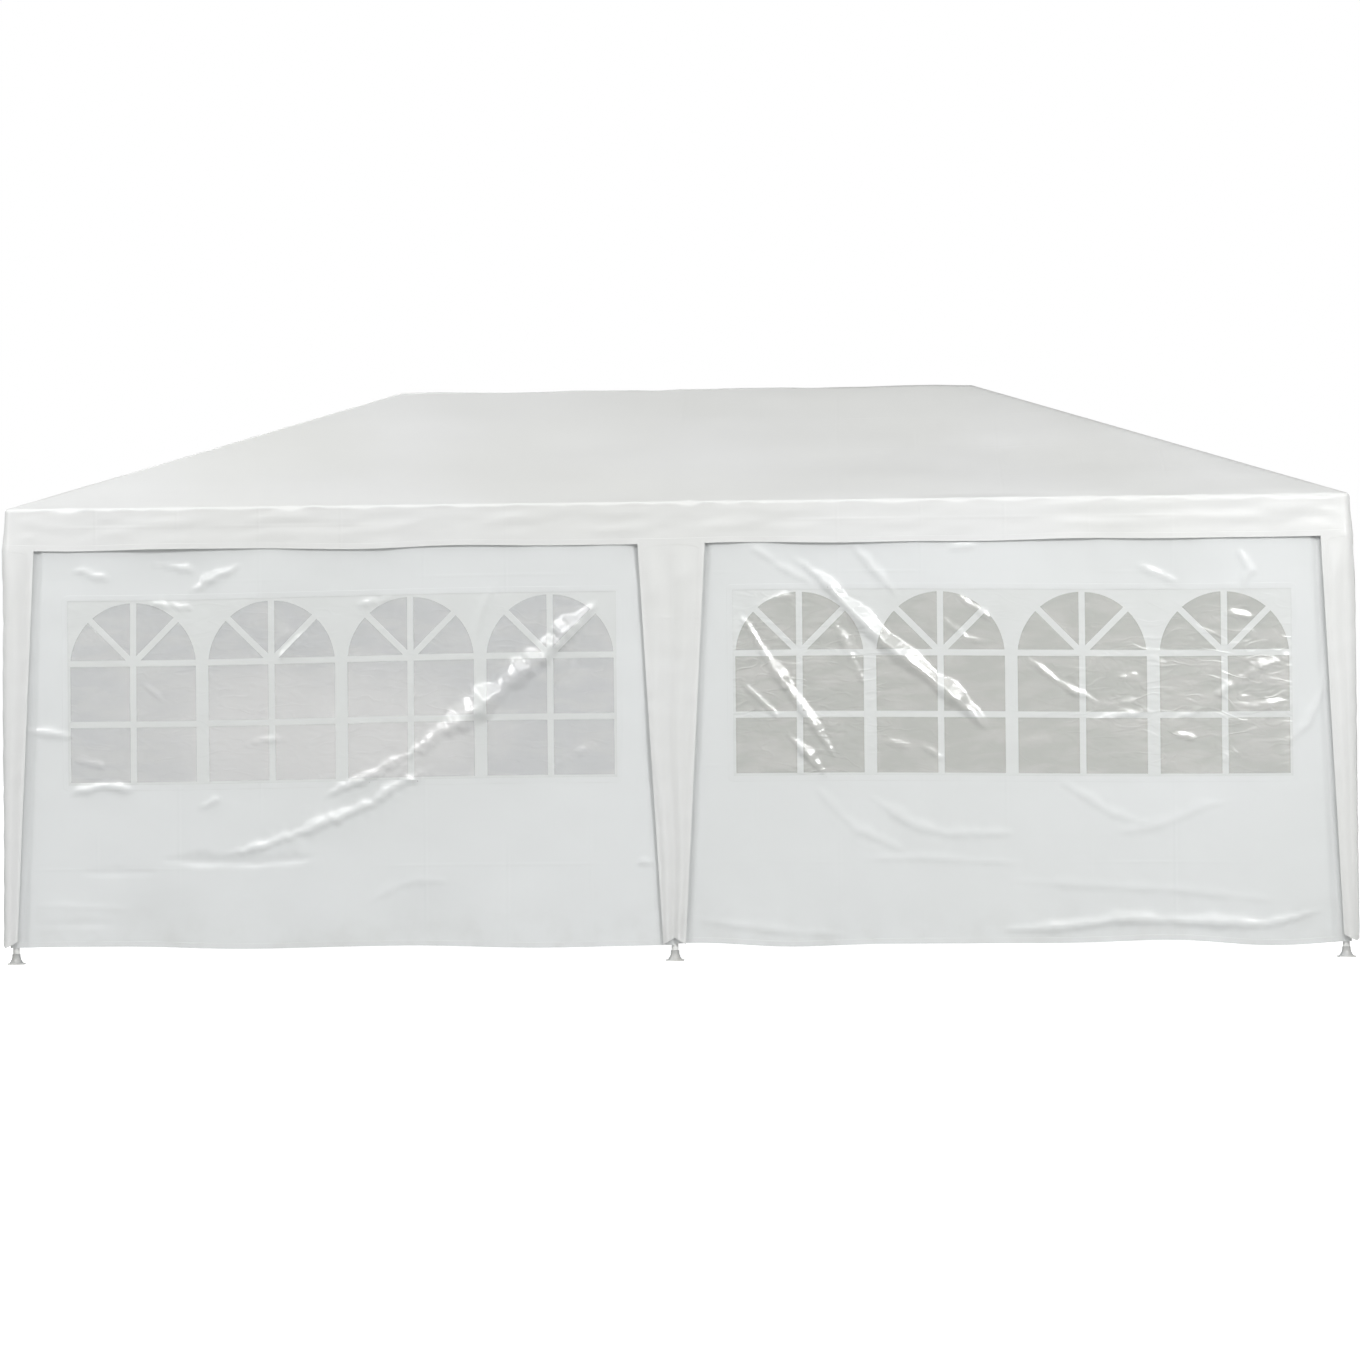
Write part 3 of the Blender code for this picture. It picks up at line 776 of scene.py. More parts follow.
def hang_valance(sheet, loop, corners):
    """The rounded eave and the valance below it. Gives the valance's lowest points."""
    radius = EAVE_INSET / (1.0 - sin(ROOF_SLOPE))
    centre = EAVE_HEIGHT + EAVE_INSET * tan(ROOF_SLOPE) - radius * cos(ROOF_SLOPE)
    inset = np.array([EAVE_INSET * (HALF_LENGTH - RIDGE_HALF) / HALF_WIDTH, EAVE_INSET])
    upper, sides = ([entry[k] for entry in loop] for k in (0, 1))
    plan = np.array([sheet.points[index][:2] for index in upper])
    outward = np.array([corners.get(k, OUTWARD[side]) for k, side in enumerate(sides)])
    travelled = np.concatenate([[0.0], np.cumsum(np.hypot(*np.diff(plan, axis=0).T))])
    corner_gap = np.minimum.reduce([np.hypot(*(plan - plan[k]).T) for k in corners])
    calm = smooth(0.0, 0.1, corner_gap)
    still = np.zeros(len(loop))

    def wave(height, seed, wavelength, count=9):
        return height * ripple(travelled, still, seed, wavelength, count)

    foot = VALANCE_BOTTOM + wave(0.0035, 21, 0.8, 5)
    flutter = 0.001 + wave(0.0036, 31, 0.38, 7)
    flutter = flutter + (CORNER_FLARE - flutter) * (1.0 - smooth(0.0, 0.14, corner_gap))
    rumple = wave(0.0022, 51, 0.17) * calm
    round_end = pi / 2 - ROOF_SLOPE
    for angle in np.linspace(round_end, 0.0, 6)[1:]:
        reach = 1.0 - radius * (1.0 - cos(angle)) / EAVE_INSET
        height = np.full(len(loop), centre + radius * sin(angle))
        swell = rumple * sin(pi * (round_end - angle) / round_end)
        places = np.column_stack([plan + outward * (inset * reach + swell[:, None]), height + swell])
        lower = sheet.row(places)
        sheet.band(upper, lower, sides)
        upper = lower
    for share in np.linspace(0.0, 1.0, 14)[1:]:
        height = centre + (foot - centre) * share
        wrinkles = 0.0020 * ripple(travelled, 5.0 * height, 41, 0.34)
        wrinkles = wrinkles + 0.0008 * ripple(travelled, 3.0 * height, 42, 0.13)
        swing = flutter * share ** 1.5 + wrinkles * sin(pi * min(1.0, 0.12 + share)) * calm
        places = np.column_stack([plan + outward * (inset + swing[:, None]), height])
        lower = sheet.row(places, height - foot)
        sheet.band(upper, lower, sides)
        upper = lower
    return upper


def cover_relief(across, height, seed):
    """How far a leg cover stands out: soft folds that run down it. across goes from -1 to 1."""
    wander = 0.12 * ripple(height, np.zeros(np.shape(height)), seed, 0.9, 4)
    folds = 0.003 - 0.0070 * np.cos(2.0 * pi * (across + 0.06 + wander))
    puckers = 0.0012 * ripple(0.12 * across, height, seed + 1, 0.12, 7)
    return np.maximum(folds + puckers + 0.0015 * np.abs(across), -0.005)


def hang_leg_cover(sheet, top, anchor, outward, narrow, seed, sides, tips_low=False):
    """One tapering cover below the valance, from the top points given, lowest at its middle or its tips."""
    start = np.array([sheet.points[index] for index in top])
    spread = start[:, :2] - anchor
    side_way = np.abs(spread).max(axis=1)
    first = np.arange(len(top)) < len(top) // 2
    across = np.clip(np.where(first, -side_way / side_way[0], side_way / side_way[-1]), -1.0, 1.0)
    rise = 1.0 - np.abs(across) if tips_low else np.abs(across) ** 1.5
    foot = COVER_BOTTOM - 0.010 + COVER_TIP * rise
    upper = top
    for share in np.linspace(0.0, 1.0, 72)[1:]:
        height = start[:, 2] + (foot - start[:, 2]) * share
        width = 1.0 + (narrow - 1.0) * share
        relief = cover_relief(across, height, seed) * smooth(0.0, 0.1, share)
        places = np.column_stack([anchor + spread * width + outward * relief[:, None], height])
        edge = np.minimum((1.0 - np.abs(across)) * side_way[0] * width, height - foot)
        lower = sheet.row(places, edge)
        sheet.band(upper, lower, sides[:-1])
        upper = lower


def flat_roof_map(sheet):
    """Where each corner of each face lies on the cover, spread flat."""
    places = []
    for face, side in zip(sheet.faces, sheet.sides):
        for x, y, z in (sheet.points[index] for index in face):
            below = EAVE_HEIGHT - z
            if side == "roof":
                places.append((x, y * ROOF_SLANT))
            elif side in SIDES:
                places.append((x, SIDES[side] * (HALF_WIDTH * ROOF_SLANT + below)))
            else:
                places.append((ENDS[side] * (HALF_LENGTH + below), y))
    return places


def make_roof_cover():
    """Roof, valance and leg covers, sewn together as one hanging sheet."""
    shares = roof_shares()
    from_end = HALF_LENGTH - (HALF_LENGTH - RIDGE_HALF) * shares
    from_side = HALF_WIDTH * (1.0 - shares)
    middle = lines(-RIDGE_HALF, RIDGE_HALF, 0.034, *np.linspace(cover_low.x, cover_high.x, 25))
    across = np.concatenate([-from_end, middle[1:-1], from_end[::-1]])
    along = np.concatenate([-from_side, from_side[-2::-1]])
    columns, rows = len(across), len(along)
    sheet = Sheet()
    loop = lay_roof(sheet, across, along, len(shares) - 1)
    starts = (0, columns - 1, columns + rows - 2, 2 * columns + rows - 3)
    corners = dict(zip(starts, ((-1, -1), (1, -1), (1, 1), (-1, 1))))
    lowest = hang_valance(sheet, loop, corners)

    reach = int(np.searchsorted(shares, COVER_SHARE - 1e-6))
    for seed, start in enumerate(corners):
        picked = [(start + step) % len(loop) for step in range(-reach, reach + 1)]
        outward = np.array([corners.get(k, OUTWARD[loop[k][1]]) for k in picked], dtype=float)
        hang_leg_cover(
            sheet, [lowest[k] for k in picked], np.array(sheet.points[lowest[start]][:2]), outward,
            CORNER_NARROW, 60 + 3 * seed, [loop[k][1] for k in picked],
        )
    for seed, side in ((80, "front"), (90, "rear")):
        picked = [
            k for k, (index, name) in enumerate(loop)
            if name == side and abs(sheet.points[index][0]) < cover_high.x + 1e-6
        ]
        outward = np.array([OUTWARD[side]] * len(picked), dtype=float)
        hang_leg_cover(
            sheet, [lowest[k] for k in picked], np.array([0.0, SIDES[side] * HALF_WIDTH]), outward,
            MIDDLE_NARROW, seed, [side] * len(picked), tips_low=True,
        )

    obj = mesh_object("roof_cover", sheet.points, sheet.faces, ROOF_CLOTH, flat_roof_map(sheet), sheet.edge)
    finish_piece(thicken(obj), "polyethylene", *COVER_NODES)


def stand(wall, s, z, out):
    """Places on a wall as seen from outside: s to the right, z up, and out towards the viewer."""
    s, z, out = np.broadcast_arrays(s, z, out)
    way_x, way_y = OUTWARD[wall]
    reach = (WALL_OUTER_Y if way_y else WALL_OUTER_X) + out
    return np.column_stack([way_x * reach - way_y * s, way_y * reach + way_x * s, z])


def cover_edge(top, narrow, z):
    """How far from its leg a leg cover reaches at each height, for its reach at the top."""
    share = (VALANCE_BOTTOM - z) / (VALANCE_BOTTOM - COVER_BOTTOM)
    return top * (1.0 + (narrow - 1.0) * np.clip(share, 0.0, 1.0))


def side_relief(folds, s, z, seed):
    """How far a side wall bulges: slack cloth, creases from its bag, pulled folds and a swaying hem."""
    from_middle = np.abs(s)
    from_corner = WALL_OUTER_X - from_middle
    from_leg = np.minimum(from_middle, from_corner)
    below_top = smooth(0.0, 0.1, WALL_TOP - z)
    still = np.zeros(np.shape(s))
    bulge = 0.0032 * ripple(s, z, seed, 0.75) + 0.0010 * ripple(s, 0.7 * z, seed + 1, 0.2)
    bulge += 0.0016 * zigzag(s + 0.02 * z, 0.74) + 0.0014 * zigzag(z, 0.86)
    bulge += 0.010 * ripple(s, still, seed + 2, 0.55, 5) * (1.0 - smooth(WALL_BOTTOM, 0.42, z))
    for number, (route, width, slope, crumpling) in enumerate(folds):
        bulge = bulge + fold(s, z, route, width, slope, crumpling, seed + 11 * number)
    free = smooth(0.02, 0.14, from_middle) * smooth(0.02, 0.14, from_corner) * below_top
    bulge = bulge * (0.35 + 0.65 * free)
    beside_middle = from_middle - cover_edge(cover_high.x, MIDDLE_NARROW, z)
    beside_corner = from_corner - cover_edge(corner_high.x - corner_low.x, CORNER_NARROW, z)
    beside = np.minimum(beside_middle, beside_corner)
    groove = np.exp(-(((beside - 0.004) / 0.016) ** 2)) * smooth(0.022, 0.05, from_leg)
    bulge = bulge - 0.011 * groove * below_top
    covered = np.maximum(smooth(1.76, 1.86, z), 1.0 - smooth(0.0, 0.06, beside))
    most_out = 0.0035 + 0.120 * (1.0 - covered)
    most_in = 0.003 + 0.027 * smooth(0.02, 0.05, from_leg) * below_top
    return np.where(bulge > 0.0, most_out * np.tanh(bulge / most_out), most_in * np.tanh(bulge / most_in))


def end_relief(s, z, seed):
    """How far an end wall bulges, calm where it passes the legs and the eave tube."""
    still = np.zeros(np.shape(s))
    bulge = 0.0032 * ripple(s, z, seed, 0.7) + 0.0012 * ripple(s, 0.7 * z, seed + 1, 0.2)
    bulge += 0.0016 * zigzag(s, 0.74) + 0.0014 * zigzag(z, 0.86)
    bulge += 0.008 * ripple(s, still, seed + 2, 0.5, 5) * (1.0 - smooth(WALL_BOTTOM, 0.42, z))
    for side in (-1.0, 1.0):
        route = [(side * 1.38, 1.78), (side * 1.05, 1.25), (side * 0.8, 0.62)]
        bulge = bulge + fold(s, z, route, 0.035, 0.3, 0.0005, seed + 5)
    free = smooth(0.02, 0.14, WALL_OUTER_Y - np.abs(s)) * smooth(0.0, 0.1, WALL_TOP - z)
    free = free * smooth(0.0, 0.08, np.abs(np.abs(s) - DOOR_HALF))
    return 0.016 * np.tanh(bulge * (0.25 + 0.75 * free) / 0.016) * np.clip(free + 0.3, 0.0, 1.0)


def droop(wall, s, z, seed):
    """How much higher or lower the cloth of a wall hangs than straight."""
    wave = 0.007 * ripple(s, np.zeros(np.shape(s)), seed + 3, 0.8, 5) * (1.0 - smooth(WALL_BOTTOM, 0.6, z))
    if wall in SIDES:
        lean = 0.0095 * np.cos(pi * np.clip((np.abs(s) - 0.55) / 1.9, 0.0, 1.0))
        wave = wave + lean * smooth(0.1, 0.6, z) * (1.0 - smooth(1.68, 1.98, z))
    return wave


def only_used(faces):
    """The points that the faces use, and the faces with these points numbered anew."""
    used = sorted({index for face in faces for index in face})
    renumber = {index: k for k, index in enumerate(used)}
    return used, [tuple(renumber[index] for index in face) for face in faces]


def make_panel(name, wall, span, rise, step, relief, seed, node, hole=None):
    """A hanging rectangle of cloth, with a rectangular hole where one is given."""
    s_low, s_high = span
    z_low, z_high = rise
    area = (s_high - s_low) * (z_high - z_low)
    hole_low = hole_high = sill = head = inf
    s_stops, z_stops = (), ()
    if hole:
        hole_low, hole_high, sill, head = hole
        s_stops, z_stops = (hole_low, hole_high), (max(sill, z_low), head)
        area -= (hole_high - hole_low) * (head - max(sill, z_low))
    s_lines = lines(s_low, s_high, step, *s_stops)
    z_lines = lines(z_low, z_high, step, *z_stops)
    s, z = (part.ravel() for part in np.meshgrid(s_lines, z_lines, indexing="ij"))
    points = stand(wall, s, z + droop(wall, s, z, seed), relief(s, z))
    edge = np.minimum.reduce([s - s_low, s_high - s, z - z_low, z_high - z])
    if hole:
        beyond_s = np.maximum(hole_low - s, s - hole_high)
        beyond_z = np.maximum(sill - z, z - head)
        edge = np.minimum(edge, np.hypot(np.maximum(beyond_s, 0.0), np.maximum(beyond_z, 0.0)))
    rows = len(z_lines)
    faces = []
    for i, (s_now, s_next) in enumerate(zip(s_lines, s_lines[1:])):
        for j, (z_now, z_next) in enumerate(zip(z_lines, z_lines[1:])):
            across, up = (s_now + s_next) / 2.0, (z_now + z_next) / 2.0
            if not (hole_low < across < hole_high and sill < up < head):
                corner = i * rows + j
                faces.append((corner, corner + rows, corner + rows + 1, corner + 1))
    used, faces = only_used(faces)
    obj = mesh_object(name, points[used], faces, WALL_CLOTH, np.column_stack([s, z])[used], edge[used])
    finish_piece(thicken(obj), "polyethylene", node)


def arch_centres(span):
    middle = sum(span) / 2.0 + STRIP_SHIFT
    return [middle + (k - (ARCH_COUNT - 1) / 2.0) * ARCH_PITCH for k in range(ARCH_COUNT)]


def strip_bounds(span):
    """The rectangle of the window strip that shows: left, right, lowest and highest."""
    centres = arch_centres(span)
    reach = ARCH_RADIUS + STRIP_MARGIN
    return (
        centres[0] - reach, centres[-1] + reach,
        ARCH_SILL - STRIP_MARGIN, ARCH_SPRING + ARCH_RADIUS + STRIP_MARGIN,
    )


def pane_outlines(centre, step):
    """The eight panes of one arched window, as closed outlines: four wedges over four rectangles."""
    wedge = pi / WEDGE_COUNT

    def rim(angle):
        """From where the bars cross to the arch, whose centre lies half a bar lower."""
        return np.sqrt(ARCH_RADIUS**2 - (BAR_HALF * np.cos(angle)) ** 2) - BAR_HALF * np.sin(angle)

    outlines = []
    for k in range(WEDGE_COUNT):
        start, end = k * wedge, (k + 1) * wedge
        middle = (start + end) / 2.0
        tip = BAR_HALF / sin(wedge / 2.0) * np.array([cos(middle), sin(middle)])
        count = max(3, round(ARCH_RADIUS * wedge / step))
        angles = np.linspace(start + asin(BAR_HALF / rim(start)), end - asin(BAR_HALF / rim(end)), count + 1)
        arc = np.column_stack([rim(angles) * np.cos(angles), rim(angles) * np.sin(angles)])
        steps = max(2, round(np.hypot(*(arc[0] - tip)) / step))
        shares = np.linspace(0.0, 1.0, steps + 1)[:-1, None]
        back = (tip + (arc[-1] - tip) * shares)[:0:-1]
        outlines.append(np.concatenate([tip + (arc[0] - tip) * shares, arc, back]))
    upper = (CROSS_BAR + BAR_HALF - ARCH_BAR, -BAR_HALF)
    lower = (ARCH_SILL - ARCH_BAR, CROSS_BAR - BAR_HALF - ARCH_BAR)
    for low, high in (upper, lower):
        for left, right in ((-ARCH_RADIUS, -BAR_HALF), (BAR_HALF, ARCH_RADIUS)):
            across = lines(left, right, step)
            up = lines(low, high, step)
            rectangle = [(a, low) for a in across[:-1]] + [(right, b) for b in up[:-1]]
            rectangle += [(a, high) for a in across[:0:-1]] + [(left, b) for b in up[:0:-1]]
            outlines.append(np.array(rectangle))
    return [outline + np.array([centre, ARCH_BAR]) for outline in outlines]


def inside_pane(s, z, centres):
    """Whether each place lies in a clear pane, and not on a bar or the white field."""
    local = np.min(np.abs(s[:, None] - np.array(centres)), axis=1)
    up = z - ARCH_BAR
    upper = (up > BAR_HALF) & (np.hypot(local, z - ARCH_SPRING) < ARCH_RADIUS) & (local > BAR_HALF)
    upper &= np.abs(local - up) / sqrt(2.0) > BAR_HALF
    lower = (up < -BAR_HALF) & (z > ARCH_SILL) & (local > BAR_HALF) & (local < ARCH_RADIUS)
    lower &= np.abs(z - CROSS_BAR) > BAR_HALF
    return upper | lower


def away_from_outlines(s, z, outlines, distance):
    """Whether each place lies farther than a distance from every outline."""
    keep = np.ones(len(s), dtype=bool)
    for outline in outlines:
        near = (s > outline[:, 0].min() - distance) & (s < outline[:, 0].max() + distance)
        near &= (z > outline[:, 1].min() - distance) & (z < outline[:, 1].max() + distance)
        way = np.roll(outline, -1, axis=0) - outline
        for index in np.flatnonzero(near & keep):
            place = np.array([s[index], z[index]])
            share = np.clip(((place - outline) * way).sum(axis=1) / (way**2).sum(axis=1), 0.0, 1.0)
            keep[index] = np.hypot(*(outline + way * share[:, None] - place).T).min() > distance
    return keep


def make_window(name, wall, span, step, relief, seed, node):
    """A strip of clear film with its arched windows, and the white that is printed on it."""
    left, right, low, high = strip_bounds(span)
    centres = arch_centres(span)
    outlines = [outline for centre in centres for outline in pane_outlines(centre, step)]
    s_lines = lines(left - STRIP_BORDER, right + STRIP_BORDER, step, left, right)
    z_lines = lines(low - STRIP_BORDER, high + STRIP_BORDER, step, low, high)
    s, z = (part.ravel() for part in np.meshgrid(s_lines, z_lines, indexing="ij"))
    keep = away_from_outlines(s, z, outlines, 0.0045)
    verts = [Vector(place) for place in np.column_stack([s[keep], z[keep]])]
    edges = []
    for outline in outlines:
        first = len(verts)
        verts += [Vector(place) for place in outline]
        edges += [(first + k, first + (k + 1) % len(outline)) for k in range(len(outline))]
    flat, _, triangles, _, _, _ = delaunay_2d_cdt(verts, edges, [], 0, 1e-6)
    flat = np.array([tuple(place) for place in flat])
    s, z = flat[np.array(triangles)].mean(axis=1).T
    printed = (s > left) & (s < right) & (z > low) & (z < high) & ~inside_pane(s, z, centres)
    bulge = relief(flat[:, 0], flat[:, 1])
    height = flat[:, 1] + droop(wall, flat[:, 0], flat[:, 1], seed)

    places = stand(wall, flat[:, 0], height, bulge - FILM_DEPTH)
    film = mesh_object(f"{name}_film", places, triangles, FILM, flat)
    finish_piece(thicken(film, FILM_THICK), "clear_sheet", node)
    used, white = only_used([triangle for triangle, shown in zip(triangles, printed) if shown])
    places = stand(wall, flat[used, 0], height[used], bulge[used] - INK_DEPTH)
    ink = mesh_object(f"{name}_print", places, white, INK, flat[used])
    finish_piece(thicken(ink, INK_THICK), "polyethylene")


def wall_span(side, end):
    """Where a half of a long side runs, seen from outside, and whether it is the right half of the two."""
    along = ENDS[end] * -OUTWARD[side][1]
    return tuple(sorted((along * wall_low.x, along * WALL_OUTER_X))), along > 0


def make_side_walls():
    for half in HALVES:
        side, end = half.split("_")
        span, is_right = wall_span(side, end)
        step = FINE_STEP if side == "front" else COARSE_STEP
        seed = SEEDS[half]
        folds = RIGHT_FOLDS if is_right else LEFT_FOLDS

        def relief(s, z):
            return side_relief(folds, s, z, seed)

        rise = (WALL_BOTTOM, WALL_TOP)
        opening = strip_bounds(span)
        make_panel(f"wall_{half}", side, span, rise, step, relief, seed, f"side_wall_{half}", opening)
        make_window(f"window_{half}", side, span, step, relief, seed, f"window_sheet_{half}")


def make_end_walls():
    for end in ENDS:
        seed = SEEDS[end]

        def relief(s, z):
            return end_relief(s, z, seed)

        span, rise = (end_low.y, end_high.y), (WALL_BOTTOM, WALL_TOP)
        doorway = (-DOOR_HALF, DOOR_HALF, -1.0, DOOR_TOP)
        make_panel(f"wall_{end}", end, span, rise, COARSE_STEP, relief, seed, f"end_wall_{end}", doorway)
        if end == "left":
            span = (door_low.y + DOOR_GAP, door_high.y - DOOR_GAP)
            rise = (WALL_BOTTOM, DOOR_TOP - DOOR_GAP)
            make_panel("door_left", end, span, rise, COARSE_STEP, relief, seed, "door_flap_left")


def make_floor():
    """A plain pale floor, white where the camera sees it."""
    reach, count = 60.0, 96
    angles = [2.0 * pi * k / count for k in range(count)]
    mesh = bpy.data.meshes.new("floor")
    ring = [(reach * cos(angle), reach * sin(angle), 0.0) for angle in angles]
    mesh.from_pydata(ring, [], [tuple(range(count))])
    paint = Paint("pale_floor")
    by_camera = paint.add("ShaderNodeLightPath").outputs["Is Camera Ray"]
    mesh.materials.append(paint.finish({
        "Base Color": (0.38, 0.38, 0.38), "Roughness": 0.8, "Emission Color": (1.0, 1.0, 1.0),
        "Emission Strength": paint.remap(by_camera, 0.0, 1.0, FLOOR_GLOW, FLOOR_SEEN, "LINEAR"),
    }))
    floor = put_in_scene("floor", mesh)


def aim(lamp, way):
    lamp.rotation_euler = Vector(way).to_track_quat("-Z", "Y").to_euler()


def make_studio():
    """Even light all round, white where the camera sees it, with softboxes and a soft sun."""
    world = bpy.data.worlds.new("studio")
    bpy.context.scene.world = world
    world.use_nodes = True
    world.node_tree.nodes.clear()
    sky = Nodes(world.node_tree)
    height = sky.parts(sky.add("ShaderNodeTexCoord").outputs["Generated"])["Z"]
    level = sky.remap(height, -0.1, 1.0, WORLD_LOW, WORLD_HIGH, "LINEAR")
    around = sky.add("ShaderNodeBackground", {"Strength": level})
    behind = sky.add("ShaderNodeBackground", {"Strength": 1.0, "Color": (1.0, 1.0, 1.0)})
    seen = sky.add("ShaderNodeLightPath").outputs["Is Camera Ray"]
    mixer = sky.add("ShaderNodeMixShader", {0: seen, 1: around.outputs[0], 2: behind.outputs[0]})
    sky.add("ShaderNodeOutputWorld", {"Surface": mixer.outputs[0]})

    for name, place, target, size, power in LIGHTS:
        light = bpy.data.lights.new(name, "AREA")
        light.shape = "RECTANGLE"
        light.size, light.size_y = size
        light.energy = power
        lamp = put_in_scene(name, light)
        lamp.location = place
        aim(lamp, Vector(target) - Vector(place))
    light = bpy.data.lights.new("daylight", "SUN")
    light.energy = SUN_STRENGTH
    light.angle = SUN_WIDTH
    aim(put_in_scene("daylight", light), SUN_WAY)


def make_camera():
    camera = bpy.data.cameras.new("camera")
    camera.lens = CAMERA_LENS
    camera.sensor_width = 36.0
    camera.clip_end = 300.0
    viewer = put_in_scene("camera", camera)
    turn = Matrix.Rotation(CAMERA_YAW, 4, "Z") @ Matrix.Rotation(pi / 2 + CAMERA_PITCH, 4, "X")
    viewer.matrix_world = Matrix.Translation(CAMERA_PLACE) @ turn @ Matrix.Rotation(CAMERA_ROLL, 4, "Z")
    bpy.context.scene.camera = viewer
    bpy.context.scene.view_settings.view_transform = "Standard"


def geometry_tree(name, inputs):
    """A Geometry Nodes tree with a geometry, a material and other named inputs."""
    given = [("Geometry", "Geometry", None), *inputs, ("Material", "Material", None)]
    return new_tree(name, "Geometry", given, ("Geometry", "Geometry"))


def end_tree(nodes, given, geometry):
    """Ends a Geometry Nodes tree with a plain mesh in the material given."""
    whole = nodes.add("GeometryNodeRealizeInstances", {"Geometry": geometry}).outputs["Geometry"]
    painted = nodes.add("GeometryNodeSetMaterial", {"Geometry": whole, "Material": given["Material"]})
    return nodes.put_out(painted.outputs["Geometry"])


def named_value(nodes, name, kind):
    return nodes.add("GeometryNodeInputNamedAttribute", {"Name": name}, data_type=kind).outputs["Attribute"]


def grow(name, tree, values, points, edges, attributes):
    """Runs a Geometry Nodes tree on a path or a set of points, and keeps the result as a plain mesh."""
    mesh = bpy.data.meshes.new(f"{name}_path")
    mesh.from_pydata([tuple(p) for p in points], edges, [])
    for label, numbers in attributes.items():
        numbers = np.asarray(numbers, dtype=np.float32)
        kind, field = ("FLOAT_VECTOR", "vector") if numbers.ndim == 2 else ("FLOAT", "value")
        mesh.attributes.new(label, kind, "POINT").data.foreach_set(field, numbers.ravel())
    path = put_in_scene(f"{name}_path", mesh)
    modifier = path.modifiers.new("grow", "NODES")
    modifier.node_group = tree
    for item in tree.interface.items_tree:
        if item.in_out == "INPUT" and item.name in values:
            modifier[item.identifier] = values[item.name]
    grown = evaluated_mesh(path)
    bpy.data.objects.remove(path)
    bpy.data.meshes.remove(mesh)
    grown.name = name
    grown.shade_smooth()
    grown.set_sharp_from_angle(angle=radians(40.0))
    return put_in_scene(name, grown)


def turned_tree():
    """A round bar along a path, as thick at each point as its thickness says, with closed ends."""
    nodes, given = geometry_tree("turned bar", [("Sides", "Int", TUBE_SIDES)])
    curve = nodes.add("GeometryNodeMeshToCurve", {"Mesh": given["Geometry"]}).outputs["Curve"]
    thickness = named_value(nodes, "thickness", "FLOAT")
    sized = nodes.add("GeometryNodeSetCurveRadius", {"Curve": curve, "Radius": thickness}).outputs["Curve"]
    ring = nodes.add("GeometryNodeCurvePrimitiveCircle", {"Resolution": given["Sides"], "Radius": 1.0})
    inputs = {"Curve": sized, "Profile Curve": ring.outputs["Curve"], "Fill Caps": True}
    bar = nodes.add("GeometryNodeCurveToMesh", inputs)
    if "Scale" in bar.inputs:
        nodes.fill(bar, {"Scale": nodes.add("GeometryNodeInputRadius").outputs[0]})
    return end_tree(nodes, given, bar.outputs["Mesh"])


def scatter_tree(name, build):
    """Copies of one small part on every point, turned so that its X follows "along" and its Z "facing"."""
    nodes, given = geometry_tree(name, [("Size", "Vector", (0.01, 0.01, 0.01)), ("Detail", "Int", 8)])
    dots = nodes.add("GeometryNodeMeshToPoints", {"Mesh": given["Geometry"]}).outputs["Points"]
    facing, along = (named_value(nodes, label, "FLOAT_VECTOR") for label in ("facing", "along"))
    axes = {"Primary Axis": facing, "Secondary Axis": along}
    turn = nodes.add("FunctionNodeAxesToRotation", axes, primary_axis="Z", secondary_axis="X")
    inputs = {"Points": dots, "Instance": build(nodes, given), "Rotation": turn.outputs["Rotation"]}
    copies = nodes.add("GeometryNodeInstanceOnPoints", inputs)
    return end_tree(nodes, given, copies.outputs["Instances"])


def dome_part(nodes, given):
    """A rounded button, as high as Size Z."""
    inputs = {"Segments": 16, "Rings": given["Detail"], "Radius": 1.0}
    ball = nodes.add("GeometryNodeMeshUVSphere", inputs).outputs["Mesh"]
    return nodes.add("GeometryNodeTransform", {"Geometry": ball, "Scale": given["Size"]}).outputs["Geometry"]


def block_part(nodes, given):
    """A small block with its long side along X, such as a zip tooth or one stitch."""
    return nodes.add("GeometryNodeMeshCube", {"Size": given["Size"]}).outputs["Mesh"]


def loop_part(nodes, given):
    """A flat webbing loop: Size X its radius, Y its thickness and Z its width."""
    radius, thick, wide = nodes.parts(given["Size"])
    ring = nodes.add("GeometryNodeCurvePrimitiveCircle", {"Resolution": given["Detail"], "Radius": radius})
    band = nodes.add("GeometryNodeCurvePrimitiveQuadrilateral", {"Width": thick, "Height": wide})
    inputs = {"Curve": ring.outputs["Curve"], "Profile Curve": band.outputs["Curve"]}
    return nodes.add("GeometryNodeCurveToMesh", inputs).outputs["Mesh"]


def scattered(name, tree, size, detail, material, places):
    """One object with a small part at each (place, facing, along)."""
    places, facing, along = (np.array([tuple(part) for part in column]) for column in zip(*places))
    values = {"Size": size, "Detail": detail, "Material": material}
    return grow(name, tree, values, places, [], {"facing": facing, "along": along})


def turned(name, tree, material, bar):
    """One object from a bar, a list of (x, y, z, thickness)."""
    points = [place[:3] for place in bar]
    edges = [(k, k + 1) for k in range(len(bar) - 1)]
    values = {"Sides": TUBE_SIDES, "Material": material}
    return grow(name, tree, values, points, edges, {"thickness": [place[3] for place in bar]})


def along_line(start, end, profile):
    """Bar points from (distance, thickness) pairs measured from the start towards the end."""
    way = (end - start).normalized()
    return [(*(start + way * distance), thickness) for distance, thickness in profile]


